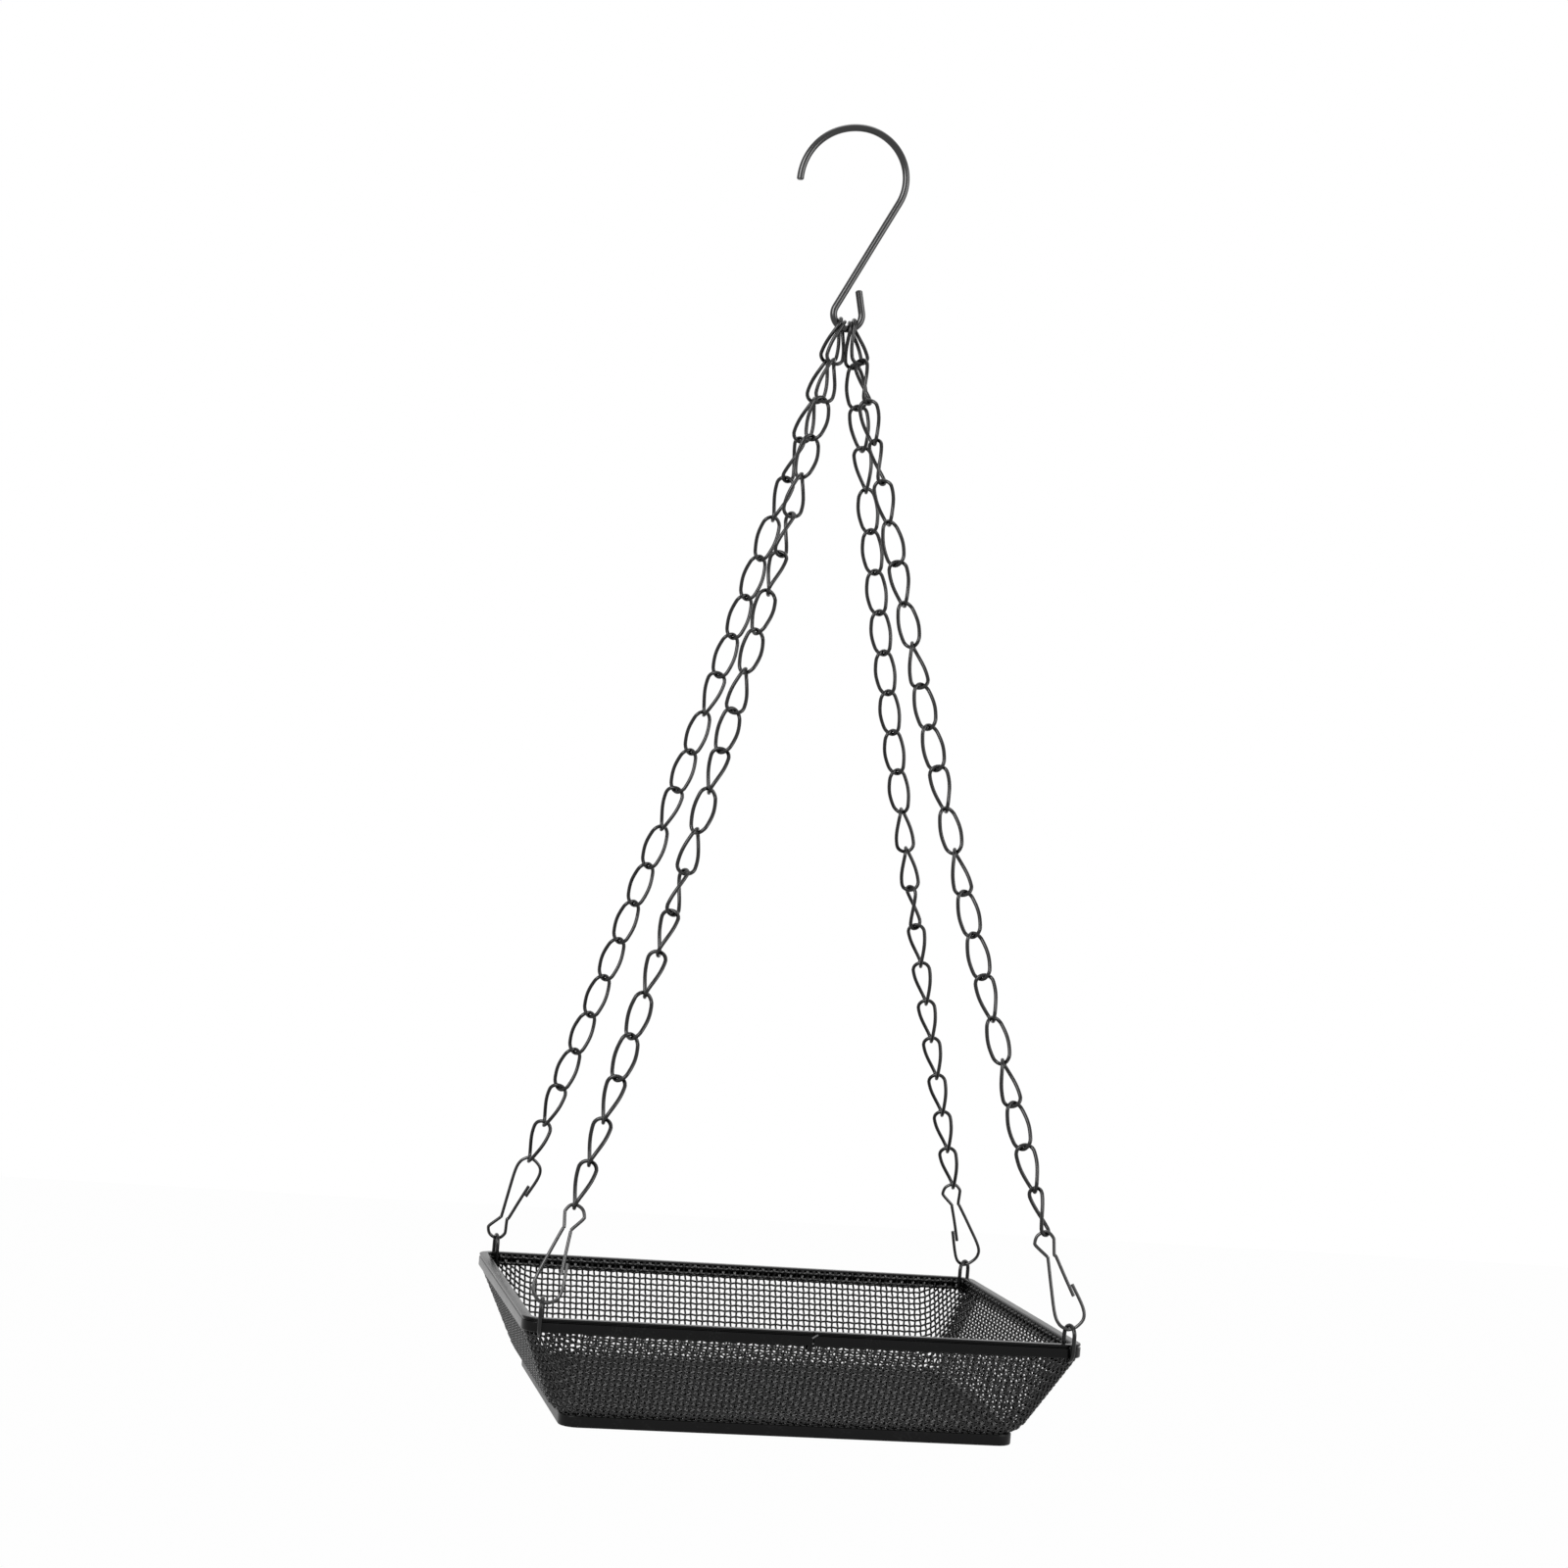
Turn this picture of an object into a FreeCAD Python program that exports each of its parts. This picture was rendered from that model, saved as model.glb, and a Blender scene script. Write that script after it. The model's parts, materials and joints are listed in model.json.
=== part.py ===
import FreeCAD, Part
import math
import os
import Sketcher
from FreeCAD import Placement, Rotation, Vector

# Hanging platform feeder for birds: a drawn wire-cloth tray that hangs from an S hook by four
# chains of twisted links. Each chain ends in a sprung wire clip, and each clip holds a ring that is
# closed round the tray's rim at a corner. Units are millimetres. The origin is the hanging point, on
# the inside top of the hook, +Z is up and X runs along the tray's long side.

# Driving sizes: alias, value, what it is. Lengths in mm, angles in degrees.
SIZES = [
    ("hook_wire", 3.8, "hook wire, diameter"),
    ("hook_height", 106.5, "hook, centreline of the small bend to centreline of the top"),
    ("hook_bend", 25.5, "hook, upper bend radius on the shank side"),
    ("hook_mouth", 31.3, "hook, upper bend radius on the open side"),
    ("hook_eye", 7.6, "hook, small bend radius"),
    ("hook_leg", 12.0, "hook, short leg after the small bend"),
    ("hook_leg_lean", 12.5, "hook, inward lean of the short leg, degrees"),
    ("hook_tip_bevel", 0.6, "hook, bevel of both cut ends"),
    ("link_wire", 1.8, "chain link wire"),
    ("link_inside", 22.15, "chain link, inside length"),
    ("link_spread", 8.8, "chain link, width between wire centres"),
    ("link_bend_rise", 3.6, "chain link, height of an end bend"),
    ("link_crown", 3.8, "chain link, length of the flat crown of an end bend"),
    ("link_count", 22, "links in a chain"),
    ("joint_play", 0.2, "play where one wire hangs on another"),
    ("hook_play", 0.35, "play of the top links on the hook"),
    ("hook_spacing", 2.7, "spacing of the four top links on the hook"),
    ("chain_sag", 0.38, "weight of a chain over the load that it carries"),
    ("clip_wire", 1.6, "clip wire"),
    ("clip_inside", 47.6, "clip, inside length"),
    ("clip_eye", 9.8, "clip, width of the small loop between wire centres"),
    ("clip_eye_length", 12.6, "clip, length of the small loop to the neck"),
    ("clip_neck", 3.8, "clip, width of the neck between wire centres"),
    ("clip_lap", 6.0, "clip, lap of the latch"),
    ("ring_wire", 1.6, "ring wire"),
    ("ring_inside_length", 16.4, "ring, inside length"),
    ("ring_inside_width", 8.5, "ring, inside width"),
    ("rim_length", 280.0, "rim, outside length"),
    ("rim_width", 220.0, "rim, outside width"),
    ("rim_corner", 10.0, "rim, outside corner radius"),
    ("rim_height", 6.8, "rim, height of the folded strip"),
    ("rim_thickness", 5.0, "rim, across the folded strip"),
    ("rim_bevel", 0.8, "rim, eased upper edges"),
    ("strip", 0.6, "sheet thickness of the rim and of the base band"),
    ("seam_place", 5.0, "rim, seam from the middle of the front"),
    ("seam_gap", 0.4, "rim, seam between the two ends of the strip"),
    ("cloth", 1.0, "wire cloth, thickness over both wires"),
    ("cloth_play", 0.1, "play on each side of the cloth in the rim's slot"),
    ("pan_depth", 50.0, "top of the rim to the underside of the floor"),
    ("pan_inset", 20.1, "inward run of a wall from the rim to the floor line"),
    ("pan_foot_corner", 14.0, "pan, corner radius at the floor line"),
    ("knuckle", 10.0, "pan, radius between wall and floor"),
    ("gap_rows", 10, "rows of gaps in the floor"),
    ("gap_columns", 12, "columns of gaps in the floor"),
    ("gap_bar", 3.6, "bar of cloth between two gaps"),
    ("ridge_rows", 7, "ridges of cloth on a wall"),
    ("ridge_height", 0.5, "ridge of cloth, how far it stands out"),
    ("ridge_width", 1.2, "ridge of cloth, width"),
    ("ring_hole", 2.6, "hole between the wires of the cloth for a ring"),
    ("band_inset", 25.0, "base band, outside face in from the rim's outside face"),
    ("band_corner", 9.0, "base band, outside corner radius"),
    ("band_height", 6.0, "base band, height"),
    ("band_thickness", 5.0, "base band, across"),
    ("band_play", 0.2, "play between the floor and the base band"),
]

# What each corner is: sign of x and of y, place on the hook, turn of the ring's plane from the Y
# axis in degrees, whether the clip hangs with its big loop up, the side of the latch, and how far
# the latched leg and the plain leg stand out from the clip's line.
CORNERS = {
    "back_left": dict(x=-1, y=1, slot=-1.5, ring_turn=4, big_up=True, latch=1, bulges=(8.4, 4.8)),
    "front_left": dict(x=-1, y=-1, slot=-0.5, ring_turn=12, big_up=False, latch=1, bulges=(7.2, 6.6)),
    "back_right": dict(x=1, y=1, slot=0.5, ring_turn=42, big_up=False, latch=-1, bulges=(4.4, 9.0)),
    "front_right": dict(x=1, y=-1, slot=1.5, ring_turn=14, big_up=False, latch=1, bulges=(8.6, 5.6)),
}

# How each link looks from the front, hook end first: T wide at the top, W an open oval, B wide at
# the bottom, N crossed in the middle. A link turns on its neighbour, by no more than MOST_TURN.
LOOKS = {
    "back_left": "BBBNTWWWWNBWTWWWWWWWTT",
    "front_left": "BBWWBNTWWBTTWBNTTWWNTT",
    "back_right": "BWTTWWWWWWWWBBNTTTTTTT",
    "front_right": "BTWNWBTWBTWTWBTWNWBTTN",
}
LOOK_ANGLE = {"T": 0.0, "W": 45.0, "B": 90.0, "N": 135.0}
FRONT_VIEW = 11.5
MOST_TURN = 42.0

doc = FreeCAD.newDocument("PlatformFeeder")
sheet = doc.addObject("Spreadsheet::Sheet", "Sizes")
for row, (alias, value, note) in enumerate(SIZES, start=1):
    sheet.set("A%d" % row, str(value))
    sheet.setAlias("A%d" % row, alias)
    sheet.set("B%d" % row, note)
doc.recompute()


def size(alias):
    """A driving size from the sheet."""
    return float(sheet.get(alias))


def bind(thing, prop, expression):
    """Tie a property of an object to sizes in the sheet."""
    thing.setExpression(prop, expression)


def origin_plane(body, role):
    """The body's own origin plane with this role."""
    for feature in body.Origin.OriginFeatures:
        if feature.Role == role:
            return feature
    raise ValueError(role)


def new_body(name):
    return doc.addObject("PartDesign::Body", name)


def plane_sketch(body, name, role, level=None):
    """A sketch on an origin plane of its body, lifted to a level."""
    sketch = body.newObject("Sketcher::SketchObject", name)
    sketch.AttachmentSupport = [(origin_plane(body, role), "")]
    sketch.MapMode = "FlatFace"
    if level:
        bind(sketch, "AttachmentOffset.Base.z", level)
    return sketch


def dimension(sketch, name, expression, *constraint):
    """A named dimension of a sketch, bound to the sheet."""
    index = sketch.addConstraint(Sketcher.Constraint(*constraint))
    sketch.renameConstraint(index, name)
    bind(sketch, "Constraints." + name, expression)


def rounded_rectangle(sketch, tag, length, width, corner, guess):
    """A centred rectangle with round corners. The sizes are expressions, and guess is near them."""
    half_x, half_y, radius = guess[0] / 2, guess[1] / 2, guess[2]
    in_x, in_y = half_x - radius, half_y - radius
    line = Part.LineSegment
    sides = [
        line(Vector(in_x, half_y, 0), Vector(-in_x, half_y, 0)),
        line(Vector(-half_x, in_y, 0), Vector(-half_x, -in_y, 0)),
        line(Vector(-in_x, -half_y, 0), Vector(in_x, -half_y, 0)),
        line(Vector(half_x, -in_y, 0), Vector(half_x, in_y, 0)),
    ]
    first = sketch.addGeometry(sides, False)[0]
    centres = [(-in_x, in_y), (-in_x, -in_y), (in_x, -in_y), (in_x, in_y)]
    rounds = []
    for quarter, (x, y) in enumerate(centres, start=1):
        circle = Part.Circle(Vector(x, y, 0), Vector(0, 0, 1), radius)
        arc = Part.ArcOfCircle(circle, quarter * math.pi / 2, (quarter + 1) * math.pi / 2)
        rounds.append(sketch.addGeometry(arc, False))
    for number in range(4):
        after = first + (number + 1) % 4
        sketch.addConstraint(Sketcher.Constraint("Tangent", first + number, 2, rounds[number], 1))
        sketch.addConstraint(Sketcher.Constraint("Tangent", rounds[number], 2, after, 1))
        kind = "Horizontal" if number % 2 == 0 else "Vertical"
        sketch.addConstraint(Sketcher.Constraint(kind, first + number))
    for number in range(1, 4):
        sketch.addConstraint(Sketcher.Constraint("Equal", rounds[0], rounds[number]))
    dimension(sketch, tag + "_corner", corner, "Radius", rounds[0], radius)
    dimension(sketch, tag + "_back", "(%s) / 2" % width, "DistanceY", -1, 1, first, 1, half_y)
    dimension(sketch, tag + "_front", "(%s) / 2" % width, "DistanceY", first + 2, 1, -1, 1, half_y)
    dimension(sketch, tag + "_left", "(%s) / 2" % length, "DistanceX", first + 1, 1, -1, 1, half_x)
    dimension(sketch, tag + "_right", "(%s) / 2" % length, "DistanceX", -1, 1, first + 3, 1, half_x)


def inset(name, amount):
    """Length, width and corner expressions of the outline that lies this far inside another."""
    return (
        "Sizes.%s_length - 2 * (%s)" % (name, amount),
        "Sizes.%s_width - 2 * (%s)" % (name, amount),
    )


def evaluate(expression):
    """The value of an expression on the sheet's sizes, for a sketch's first guess."""
    for alias in sorted((row[0] for row in SIZES), key=len, reverse=True):
        expression = expression.replace("Sizes." + alias, repr(size(alias)))
    return FreeCAD.Units.Quantity(expression).Value


def outline(sketch, tag, amount, corner):
    """A rounded rectangle that lies an amount inside the rim's outside face."""
    length, width = inset("rim", amount)
    guess = (evaluate(length), evaluate(width), evaluate(corner))
    rounded_rectangle(sketch, tag, length, width, corner, guess)


# The outlines of the tray, each as its distance in from the rim's outside face and its corner.
CLOTH_OUT = "(Sizes.rim_thickness - Sizes.cloth) / 2"
FOOT_OUT = CLOTH_OUT + " + Sizes.pan_inset"


# Bent wire with a six-sided section. A corner of the path is a mitre, so every face is flat.
SECTION_SIDES = 6


def section_ring(point, across, along, diameter):
    """The six corners of a wire's section. across and along span its plane, across has a flat."""
    reach = diameter / 2 / math.cos(math.pi / SECTION_SIDES)
    corners = []
    for side in range(SECTION_SIDES):
        turn = 2 * math.pi * (side + 0.5) / SECTION_SIDES
        corners.append(point + across * (reach * math.cos(turn)) + along * (reach * math.sin(turn)))
    return corners


def slide(corners, direction, point, normal):
    """The corners moved along a direction on to the plane through a point."""
    rate = direction.dot(normal)
    return [c + direction * ((point - c).dot(normal) / rate) for c in corners]


def unit(vector):
    return vector / vector.Length


def planar_rings(points, plane_normal, diameter, closed):
    """Sections of a wire at each point of a path that lies in one plane."""
    rings = []
    count = len(points)
    for number, point in enumerate(points):
        ways = []
        if closed or number > 0:
            ways.append(unit(point - points[number - 1]))
        if closed or number < count - 1:
            ways.append(unit(points[(number + 1) % count] - point))
        way = unit(ways[0] + ways[-1])
        across = plane_normal.cross(way)
        stretch = 1 / way.dot(ways[0])
        rings.append(section_ring(point, across * stretch, plane_normal, diameter))
    return rings


def face_of(corners):
    return Part.Face(Part.makePolygon(corners + corners[:1]))


def skin(rings, closed):
    """A solid from sections in order."""
    faces = []
    spans = len(rings) if closed else len(rings) - 1
    for span in range(spans):
        here, there = rings[span], rings[(span + 1) % len(rings)]
        for side in range(SECTION_SIDES):
            after = (side + 1) % SECTION_SIDES
            faces.append(face_of([here[side], here[after], there[after], there[side]]))
    if not closed:
        faces.append(face_of(rings[0]))
        faces.append(face_of(rings[-1]))
    solid = Part.Solid(Part.makeShell(faces))
    if solid.Volume < 0:
        solid.reverse()
    return solid


def untwisted(ring, target):
    """The ring's corners, renumbered to lie nearest those of the target ring."""
    def apart(shift):
        moved = ring[shift:] + ring[:shift]
        middle = sum(moved, Vector()) / len(moved)
        other = sum(target, Vector()) / len(target)
        return sum(((a - middle) - (b - other)).Length for a, b in zip(moved, target))

    best = min(range(SECTION_SIDES), key=apart)
    return ring[best:] + ring[:best]


def end_bend(side, outward, apex, diameter):
    """Points and sections of one end bend of a link. side is the way along its crown."""
    rise, spread, crown = size("link_bend_rise"), size("link_spread"), size("link_crown")
    flat_out = unit(outward)
    points = [
        apex - side * (spread / 2) - flat_out * rise,
        apex - side * (crown / 2),
        apex + side * (crown / 2),
        apex + side * (spread / 2) - flat_out * rise,
    ]
    across = flat_out
    along = side.cross(flat_out)
    start = section_ring(apex, across, along, diameter)
    rings = [None] * 4
    ways = [unit(points[1] - points[0]), side, unit(points[3] - points[2])]
    rings[1] = slide(start, side, points[1], unit(ways[0] + ways[1]))
    rings[2] = slide(start, side, points[2], unit(ways[1] + ways[2]))
    return points, rings, ways


def twisted_link():
    """One link about the origin, hook end up: its upper bend lies along X, its lower one along Y."""
    diameter = size("link_wire")
    apex = Vector(0, 0, size("link_inside") / 2 + diameter / 2)
    top, top_rings, top_ways = end_bend(Vector(1, 0, 0), Vector(0, 0, 1), apex, diameter)
    low, low_rings, low_ways = end_bend(Vector(0, -1, 0), Vector(0, 0, -1), -apex, diameter)
    # The upper bend's far end runs down to the near end of the lower bend on the -Y side.
    low = low[::-1]
    low_rings = [ring and ring[::-1] for ring in low_rings[::-1]]
    low_ways = [way * -1 for way in low_ways[::-1]]
    legs = [unit(low[0] - top[3]), unit(top[0] - low[3])]
    top_rings[0] = slide(top_rings[1], top_ways[0], top[0], unit(legs[1] + top_ways[0]))
    top_rings[3] = slide(top_rings[2], top_ways[2], top[3], unit(top_ways[2] + legs[0]))
    low_rings[0] = slide(low_rings[1], low_ways[0], low[0], unit(legs[0] + low_ways[0]))
    low_rings[3] = slide(low_rings[2], low_ways[2], low[3], unit(low_ways[2] + legs[1]))
    return top_rings, low_rings


def link_solid():
    """The solid of one twisted link about the origin."""
    top_rings, low_rings = twisted_link()
    faces = []

    def span(here, there, twisted):
        for side in range(SECTION_SIDES):
            after = (side + 1) % SECTION_SIDES
            quad = [here[side], here[after], there[after], there[side]]
            if twisted:
                faces.append(face_of([quad[0], quad[1], quad[2]]))
                faces.append(face_of([quad[0], quad[2], quad[3]]))
            else:
                faces.append(face_of(quad))

    for number in range(3):
        span(top_rings[number], top_rings[number + 1], False)
        span(low_rings[number], low_rings[number + 1], False)
    span(top_rings[3], untwisted(low_rings[0], top_rings[3]), True)
    span(low_rings[3], untwisted(top_rings[0], low_rings[3]), True)
    solid = Part.Solid(Part.makeShell(faces))
    if solid.Volume < 0:
        solid.reverse()
    return solid


# The hang of a chain: a heavy chord whose slope grows towards the tray, then the clip in line.
STEPS = 220
ROUNDS = 30


def hang(pull, chain_length):
    """Reach and drop at each joint, and the last slope, for one level pull on a chain."""
    count = int(size("link_count"))
    reach, drop = [0.0], [0.0]
    slope = 0.0
    for step in range(STEPS):
        load = 1 + size("chain_sag") * (1 - (step + 0.5) / STEPS)
        slope = math.atan2(pull, load)
        reach.append(reach[-1] + math.sin(slope) * chain_length / STEPS)
        drop.append(drop[-1] + math.cos(slope) * chain_length / STEPS)
    joints = [number * STEPS // count for number in range(count + 1)]
    return [reach[j] for j in joints], [drop[j] for j in joints], slope


def hang_to(reach, chain_length):
    """The hang whose clip ends at this reach, by halving the pull's range."""
    low, high = 0.0, 3.0
    clip = size("clip_inside") - size("joint_play")
    for _ in range(ROUNDS):
        pull = (low + high) / 2
        across, down, slope = hang(pull, chain_length)
        if across[-1] + clip * math.sin(slope) > reach:
            high = pull
        else:
            low = pull
    return across, down, down[-1] + clip * math.cos(slope)


hook_top = size("hook_wire") / 2
hook_low = hook_top - size("hook_height")
CHAIN_LENGTH = size("link_count") * (size("link_inside") - size("joint_play"))


def ring_place(corner):
    """Level place of a ring's middle: on the middle line of the rim's corner."""
    inner = size("rim_corner") - size("rim_thickness") / 2
    turn = math.radians(corner["ring_turn"])
    x = size("rim_length") / 2 - size("rim_corner") + inner * math.sin(turn)
    y = size("rim_width") / 2 - size("rim_corner") + inner * math.cos(turn)
    return Vector(corner["x"] * x, corner["y"] * y, 0)


def crown_place(corner, lean):
    """Middle of a first link's upper bend, for a link that leans along a unit vector.

    The four links hang side by side on the hook's small bend, each square across its wire.
    """
    eye = size("hook_eye")
    gap = size("hook_wire") / 2 + size("link_wire") / 2 / math.cos(math.pi / SECTION_SIDES)
    gap += size("hook_play")
    turn = 2 * corner["slot"] * math.asin(size("hook_spacing") / 2 / (eye - gap))
    wire = Vector(eye * math.sin(turn), 0, hook_low + eye - eye * math.cos(turn))
    along = Vector(math.cos(turn), 0, math.sin(turn))
    return wire + unit(lean - along * lean.dot(along)) * gap


def fall_of(corner, chain_length):
    """Top of a chain, its level way out, its joints and the drop to the ring."""
    lean = Vector(0, 0, 1)
    ring = ring_place(corner)
    for _ in range(3):
        seat = crown_place(corner, lean) - lean * ((size("link_wire") + size("joint_play")) / 2)
        level = Vector(ring.x - seat.x, ring.y - seat.y, 0)
        across, down, total = hang_to(level.Length, chain_length)
        way = unit(level)
        lean = unit(Vector(0, 0, down[1]) - way * across[1])
    return seat, way, across, down, total


# The tray hangs level at the mean of the four drops, and each chain takes up its small difference
# in the play of its joints.
ring_round = size("ring_inside_width") / 2
ring_sag = ring_round - math.sqrt(ring_round**2 - (size("rim_thickness") / 2) ** 2)
ring_lift = size("ring_inside_length") - size("rim_height") - ring_sag - size("joint_play")
ends = []
for corner in CORNERS.values():
    seat, way, across, down, total = fall_of(corner, CHAIN_LENGTH)
    ends.append(seat.z - total)
ring_inside_top = sum(ends) / len(ends)
rim_top = ring_inside_top - ring_lift + size("joint_play") / 2


def chain_joints(corner):
    """The points where a chain's wires meet, from the hook to the clip's upper loop."""
    target = ring_inside_top
    low, high = CHAIN_LENGTH * 0.98, CHAIN_LENGTH * 1.02
    for _ in range(ROUNDS):
        length = (low + high) / 2
        seat, way, across, down, total = fall_of(corner, length)
        if seat.z - total < target:
            high = length
        else:
            low = length
    return [seat + way * r + Vector(0, 0, -d) for r, d in zip(across, down)]


def chain_rolls(name):
    """Turn of each link about its own line, from its look, in degrees."""
    turns = []
    now = 90.0
    for look in LOOKS[name][: int(size("link_count"))]:
        wanted = LOOK_ANGLE[look] - FRONT_VIEW
        if turns:
            change = (wanted - now + 90.0) % 180.0 - 90.0
            now += max(-MOST_TURN, min(MOST_TURN, change))
        turns.append(now)
    while len(turns) < int(size("link_count")):
        turns.append(now)
    return turns


def frame_at(upper, lower, turn):
    """Placement half-way between two joints, Z up along them, X turned from the world's X."""
    up = unit(upper - lower)
    side = unit(Vector(1, 0, 0) - up * up.x)
    away = up.cross(side)
    angle = math.radians(turn)
    x = side * math.cos(angle) + away * math.sin(angle)
    y = up.cross(x)
    middle = (upper + lower) / 2
    matrix = FreeCAD.Matrix(
        x.x, y.x, up.x, middle.x, x.y, y.y, up.y, middle.y, x.z, y.z, up.z, middle.z, 0, 0, 0, 1
    )
    return Placement(matrix)


def clip_path(latch_bulge, plain_bulge):
    """Path of a clip in its own plane, small loop up, from the end of the latched leg.

    The middle of the clip's inside length is at the origin.
    """
    wire = size("clip_wire")
    half = size("clip_inside") / 2 + wire / 2
    eye, neck = size("clip_eye") / 2, size("clip_neck") / 2
    throat = half - size("clip_eye_length")
    shoulder = -half + size("clip_inside") * 0.2
    belly = -half + size("clip_inside") * 0.08
    lap_foot = shoulder + size("clip_inside") * 0.12
    lap_head = lap_foot + size("clip_lap")
    reach = (throat - lap_foot) / (throat - shoulder)
    inner = neck + (latch_bulge - wire * 1.15 - neck) * reach
    outer = neck + (latch_bulge - neck) * (throat - lap_head) / (throat - shoulder) + wire * 0.35
    loop = [
        (neck, throat),
        (eye, half - eye * 1.25),
        (eye * 0.82, half - eye * 0.5),
        (eye * 0.34, half),
        (-eye * 0.34, half),
        (-eye * 0.82, half - eye * 0.5),
        (-eye, half - eye * 1.25),
        (-neck, throat),
    ]
    foot = [
        (-plain_bulge, shoulder),
        (-plain_bulge * 0.86, belly),
        (-plain_bulge * 0.4, -half + wire * 0.45),
        (-wire * 0.6, -half),
        (wire * 0.6, -half),
        (latch_bulge * 0.45, -half + wire * 0.45),
        (latch_bulge * 0.9, belly),
        (latch_bulge, shoulder),
    ]
    path = [(inner, lap_foot)] + loop + foot + [(outer, lap_head)]
    return [Vector(u, 0, v) for u, v in path]


def clip_solid(corner):
    """A corner's clip about the middle of its inside length, in the XZ plane."""
    latch_bulge, plain_bulge = corner["bulges"]
    points = clip_path(latch_bulge, plain_bulge)
    if corner["latch"] < 0:
        points = [Vector(-p.x, 0, p.z) for p in points]
    if corner["big_up"]:
        points = [Vector(p.x, 0, -p.z) for p in points]
    return skin(planar_rings(points, Vector(0, 1, 0), size("clip_wire"), False), False)


RING_ARC_STEPS = 6


def ring_solid():
    """An oval ring in the XZ plane, long way up, about its own middle."""
    wire = size("ring_wire")
    radius = size("ring_inside_width") / 2 + wire / 2
    half = size("ring_inside_length") / 2 + wire / 2 - radius
    # The arc's corners stand out a little, so that its flats keep the inside clear.
    stand_out = radius / math.cos(math.pi / 2 / RING_ARC_STEPS)
    points = []
    for end in (1, -1):
        for step in range(RING_ARC_STEPS):
            turn = math.pi * (step + 0.5) / RING_ARC_STEPS
            points.append(Vector(end * stand_out * math.cos(turn), 0,
                                 end * (half + stand_out * math.sin(turn))))
    return skin(planar_rings(points, Vector(0, 1, 0), wire, True), True)


def build_hook():
    """The S hook: one round wire swept along arcs and straights in the XZ plane."""
    body = new_body("s_hook")
    path = plane_sketch(body, "hook_line", "XZ_Plane")
    bend, mouth, eye = size("hook_bend"), size("hook_mouth"), size("hook_eye")
    top = hook_top
    bend_z, mouth_z, eye_z = top - bend, top - mouth, hook_low + eye
    lean = math.asin((bend + eye) / (bend_z - eye_z))
    leg_lean = math.radians(size("hook_leg_lean"))

    def arc(centre_z, radius, start, end):
        circle = Part.Circle(Vector(0, centre_z, 0), Vector(0, 0, 1), radius)
        return path.addGeometry(Part.ArcOfCircle(circle, start, end), False)

    def straight(a, b):
        return path.addGeometry(Part.LineSegment(Vector(*a, 0), Vector(*b, 0)), False)

    open_arc = arc(mouth_z, mouth, math.pi / 2, math.pi)
    bend_arc = arc(bend_z, bend, -lean, math.pi / 2)
    shank_top = (bend * math.cos(lean), bend_z - bend * math.sin(lean))
    shank_foot = (-eye * math.cos(lean), eye_z + eye * math.sin(lean))
    shank = straight(shank_top, shank_foot)
    eye_arc = arc(eye_z, eye, math.pi - lean, 2 * math.pi + leg_lean)
    leg_start = (eye * math.cos(leg_lean), eye_z + eye * math.sin(leg_lean))
    leg = size("hook_leg")
    leg_end = (leg_start[0] - leg * math.sin(leg_lean), leg_start[1] + leg * math.cos(leg_lean))
    short_leg = straight(leg_start, leg_end)
    for curve in (open_arc, bend_arc, eye_arc):
        path.addConstraint(Sketcher.Constraint("PointOnObject", curve, 3, -2))
    path.addConstraint(Sketcher.Constraint("Tangent", open_arc, 1, bend_arc, 2))
    path.addConstraint(Sketcher.Constraint("Tangent", bend_arc, 1, shank, 1))
    path.addConstraint(Sketcher.Constraint("Tangent", shank, 2, eye_arc, 1))
    path.addConstraint(Sketcher.Constraint("Tangent", eye_arc, 2, short_leg, 1))
    path.addConstraint(Sketcher.Constraint("Horizontal", open_arc, 3, open_arc, 2))
    dimension(path, "mouth", "Sizes.hook_mouth", "Radius", open_arc, mouth)
    dimension(path, "bend", "Sizes.hook_bend", "Radius", bend_arc, bend)
    dimension(path, "eye", "Sizes.hook_eye", "Radius", eye_arc, eye)
    dimension(path, "top", "Sizes.hook_wire / 2", "DistanceY", -1, 1, open_arc, 1, top)
    dimension(path, "eye_place", "Sizes.hook_height - Sizes.hook_wire / 2 - Sizes.hook_eye",
              "DistanceY", eye_arc, 3, -1, 1, -eye_z)
    dimension(path, "leg", "Sizes.hook_leg", "Distance", short_leg, leg)
    dimension(path, "leg_lean", "(90 + Sizes.hook_leg_lean) * 1 deg", "Angle", short_leg,
              math.pi / 2 + leg_lean)
    section = plane_sketch(body, "hook_section", "XY_Plane")
    bind(section, "AttachmentOffset.Base.x", "-Sizes.hook_mouth")
    bind(section, "AttachmentOffset.Base.z", "Sizes.hook_wire / 2 - Sizes.hook_mouth")
    section.addGeometry(Part.Circle(Vector(0, 0, 0), Vector(0, 0, 1), size("hook_wire") / 2), False)
    section.addConstraint(Sketcher.Constraint("Coincident", 0, 3, -1, 1))
    dimension(section, "wire", "Sizes.hook_wire / 2", "Radius", 0, size("hook_wire") / 2)
    doc.recompute()
    pipe = body.newObject("PartDesign::AdditivePipe", "hook_bar")
    pipe.Profile = section
    pipe.Spine = (path, [])
    doc.recompute()
    bevel = body.newObject("PartDesign::Chamfer", "hook_tips")
    rounds = []
    for number, edge in enumerate(pipe.Shape.Edges, start=1):
        faces = pipe.Shape.ancestorsOfType(edge, Part.Face)
        if any(f.Surface.TypeId == "Part::GeomPlane" for f in faces):
            rounds.append("Edge%d" % number)
    bevel.Base = (pipe, rounds)
    bind(bevel, "Size", "Sizes.hook_tip_bevel")
    body.Tip = bevel
    return body


def free_sketch(name):
    return doc.addObject("Sketcher::SketchObject", name)


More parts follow.
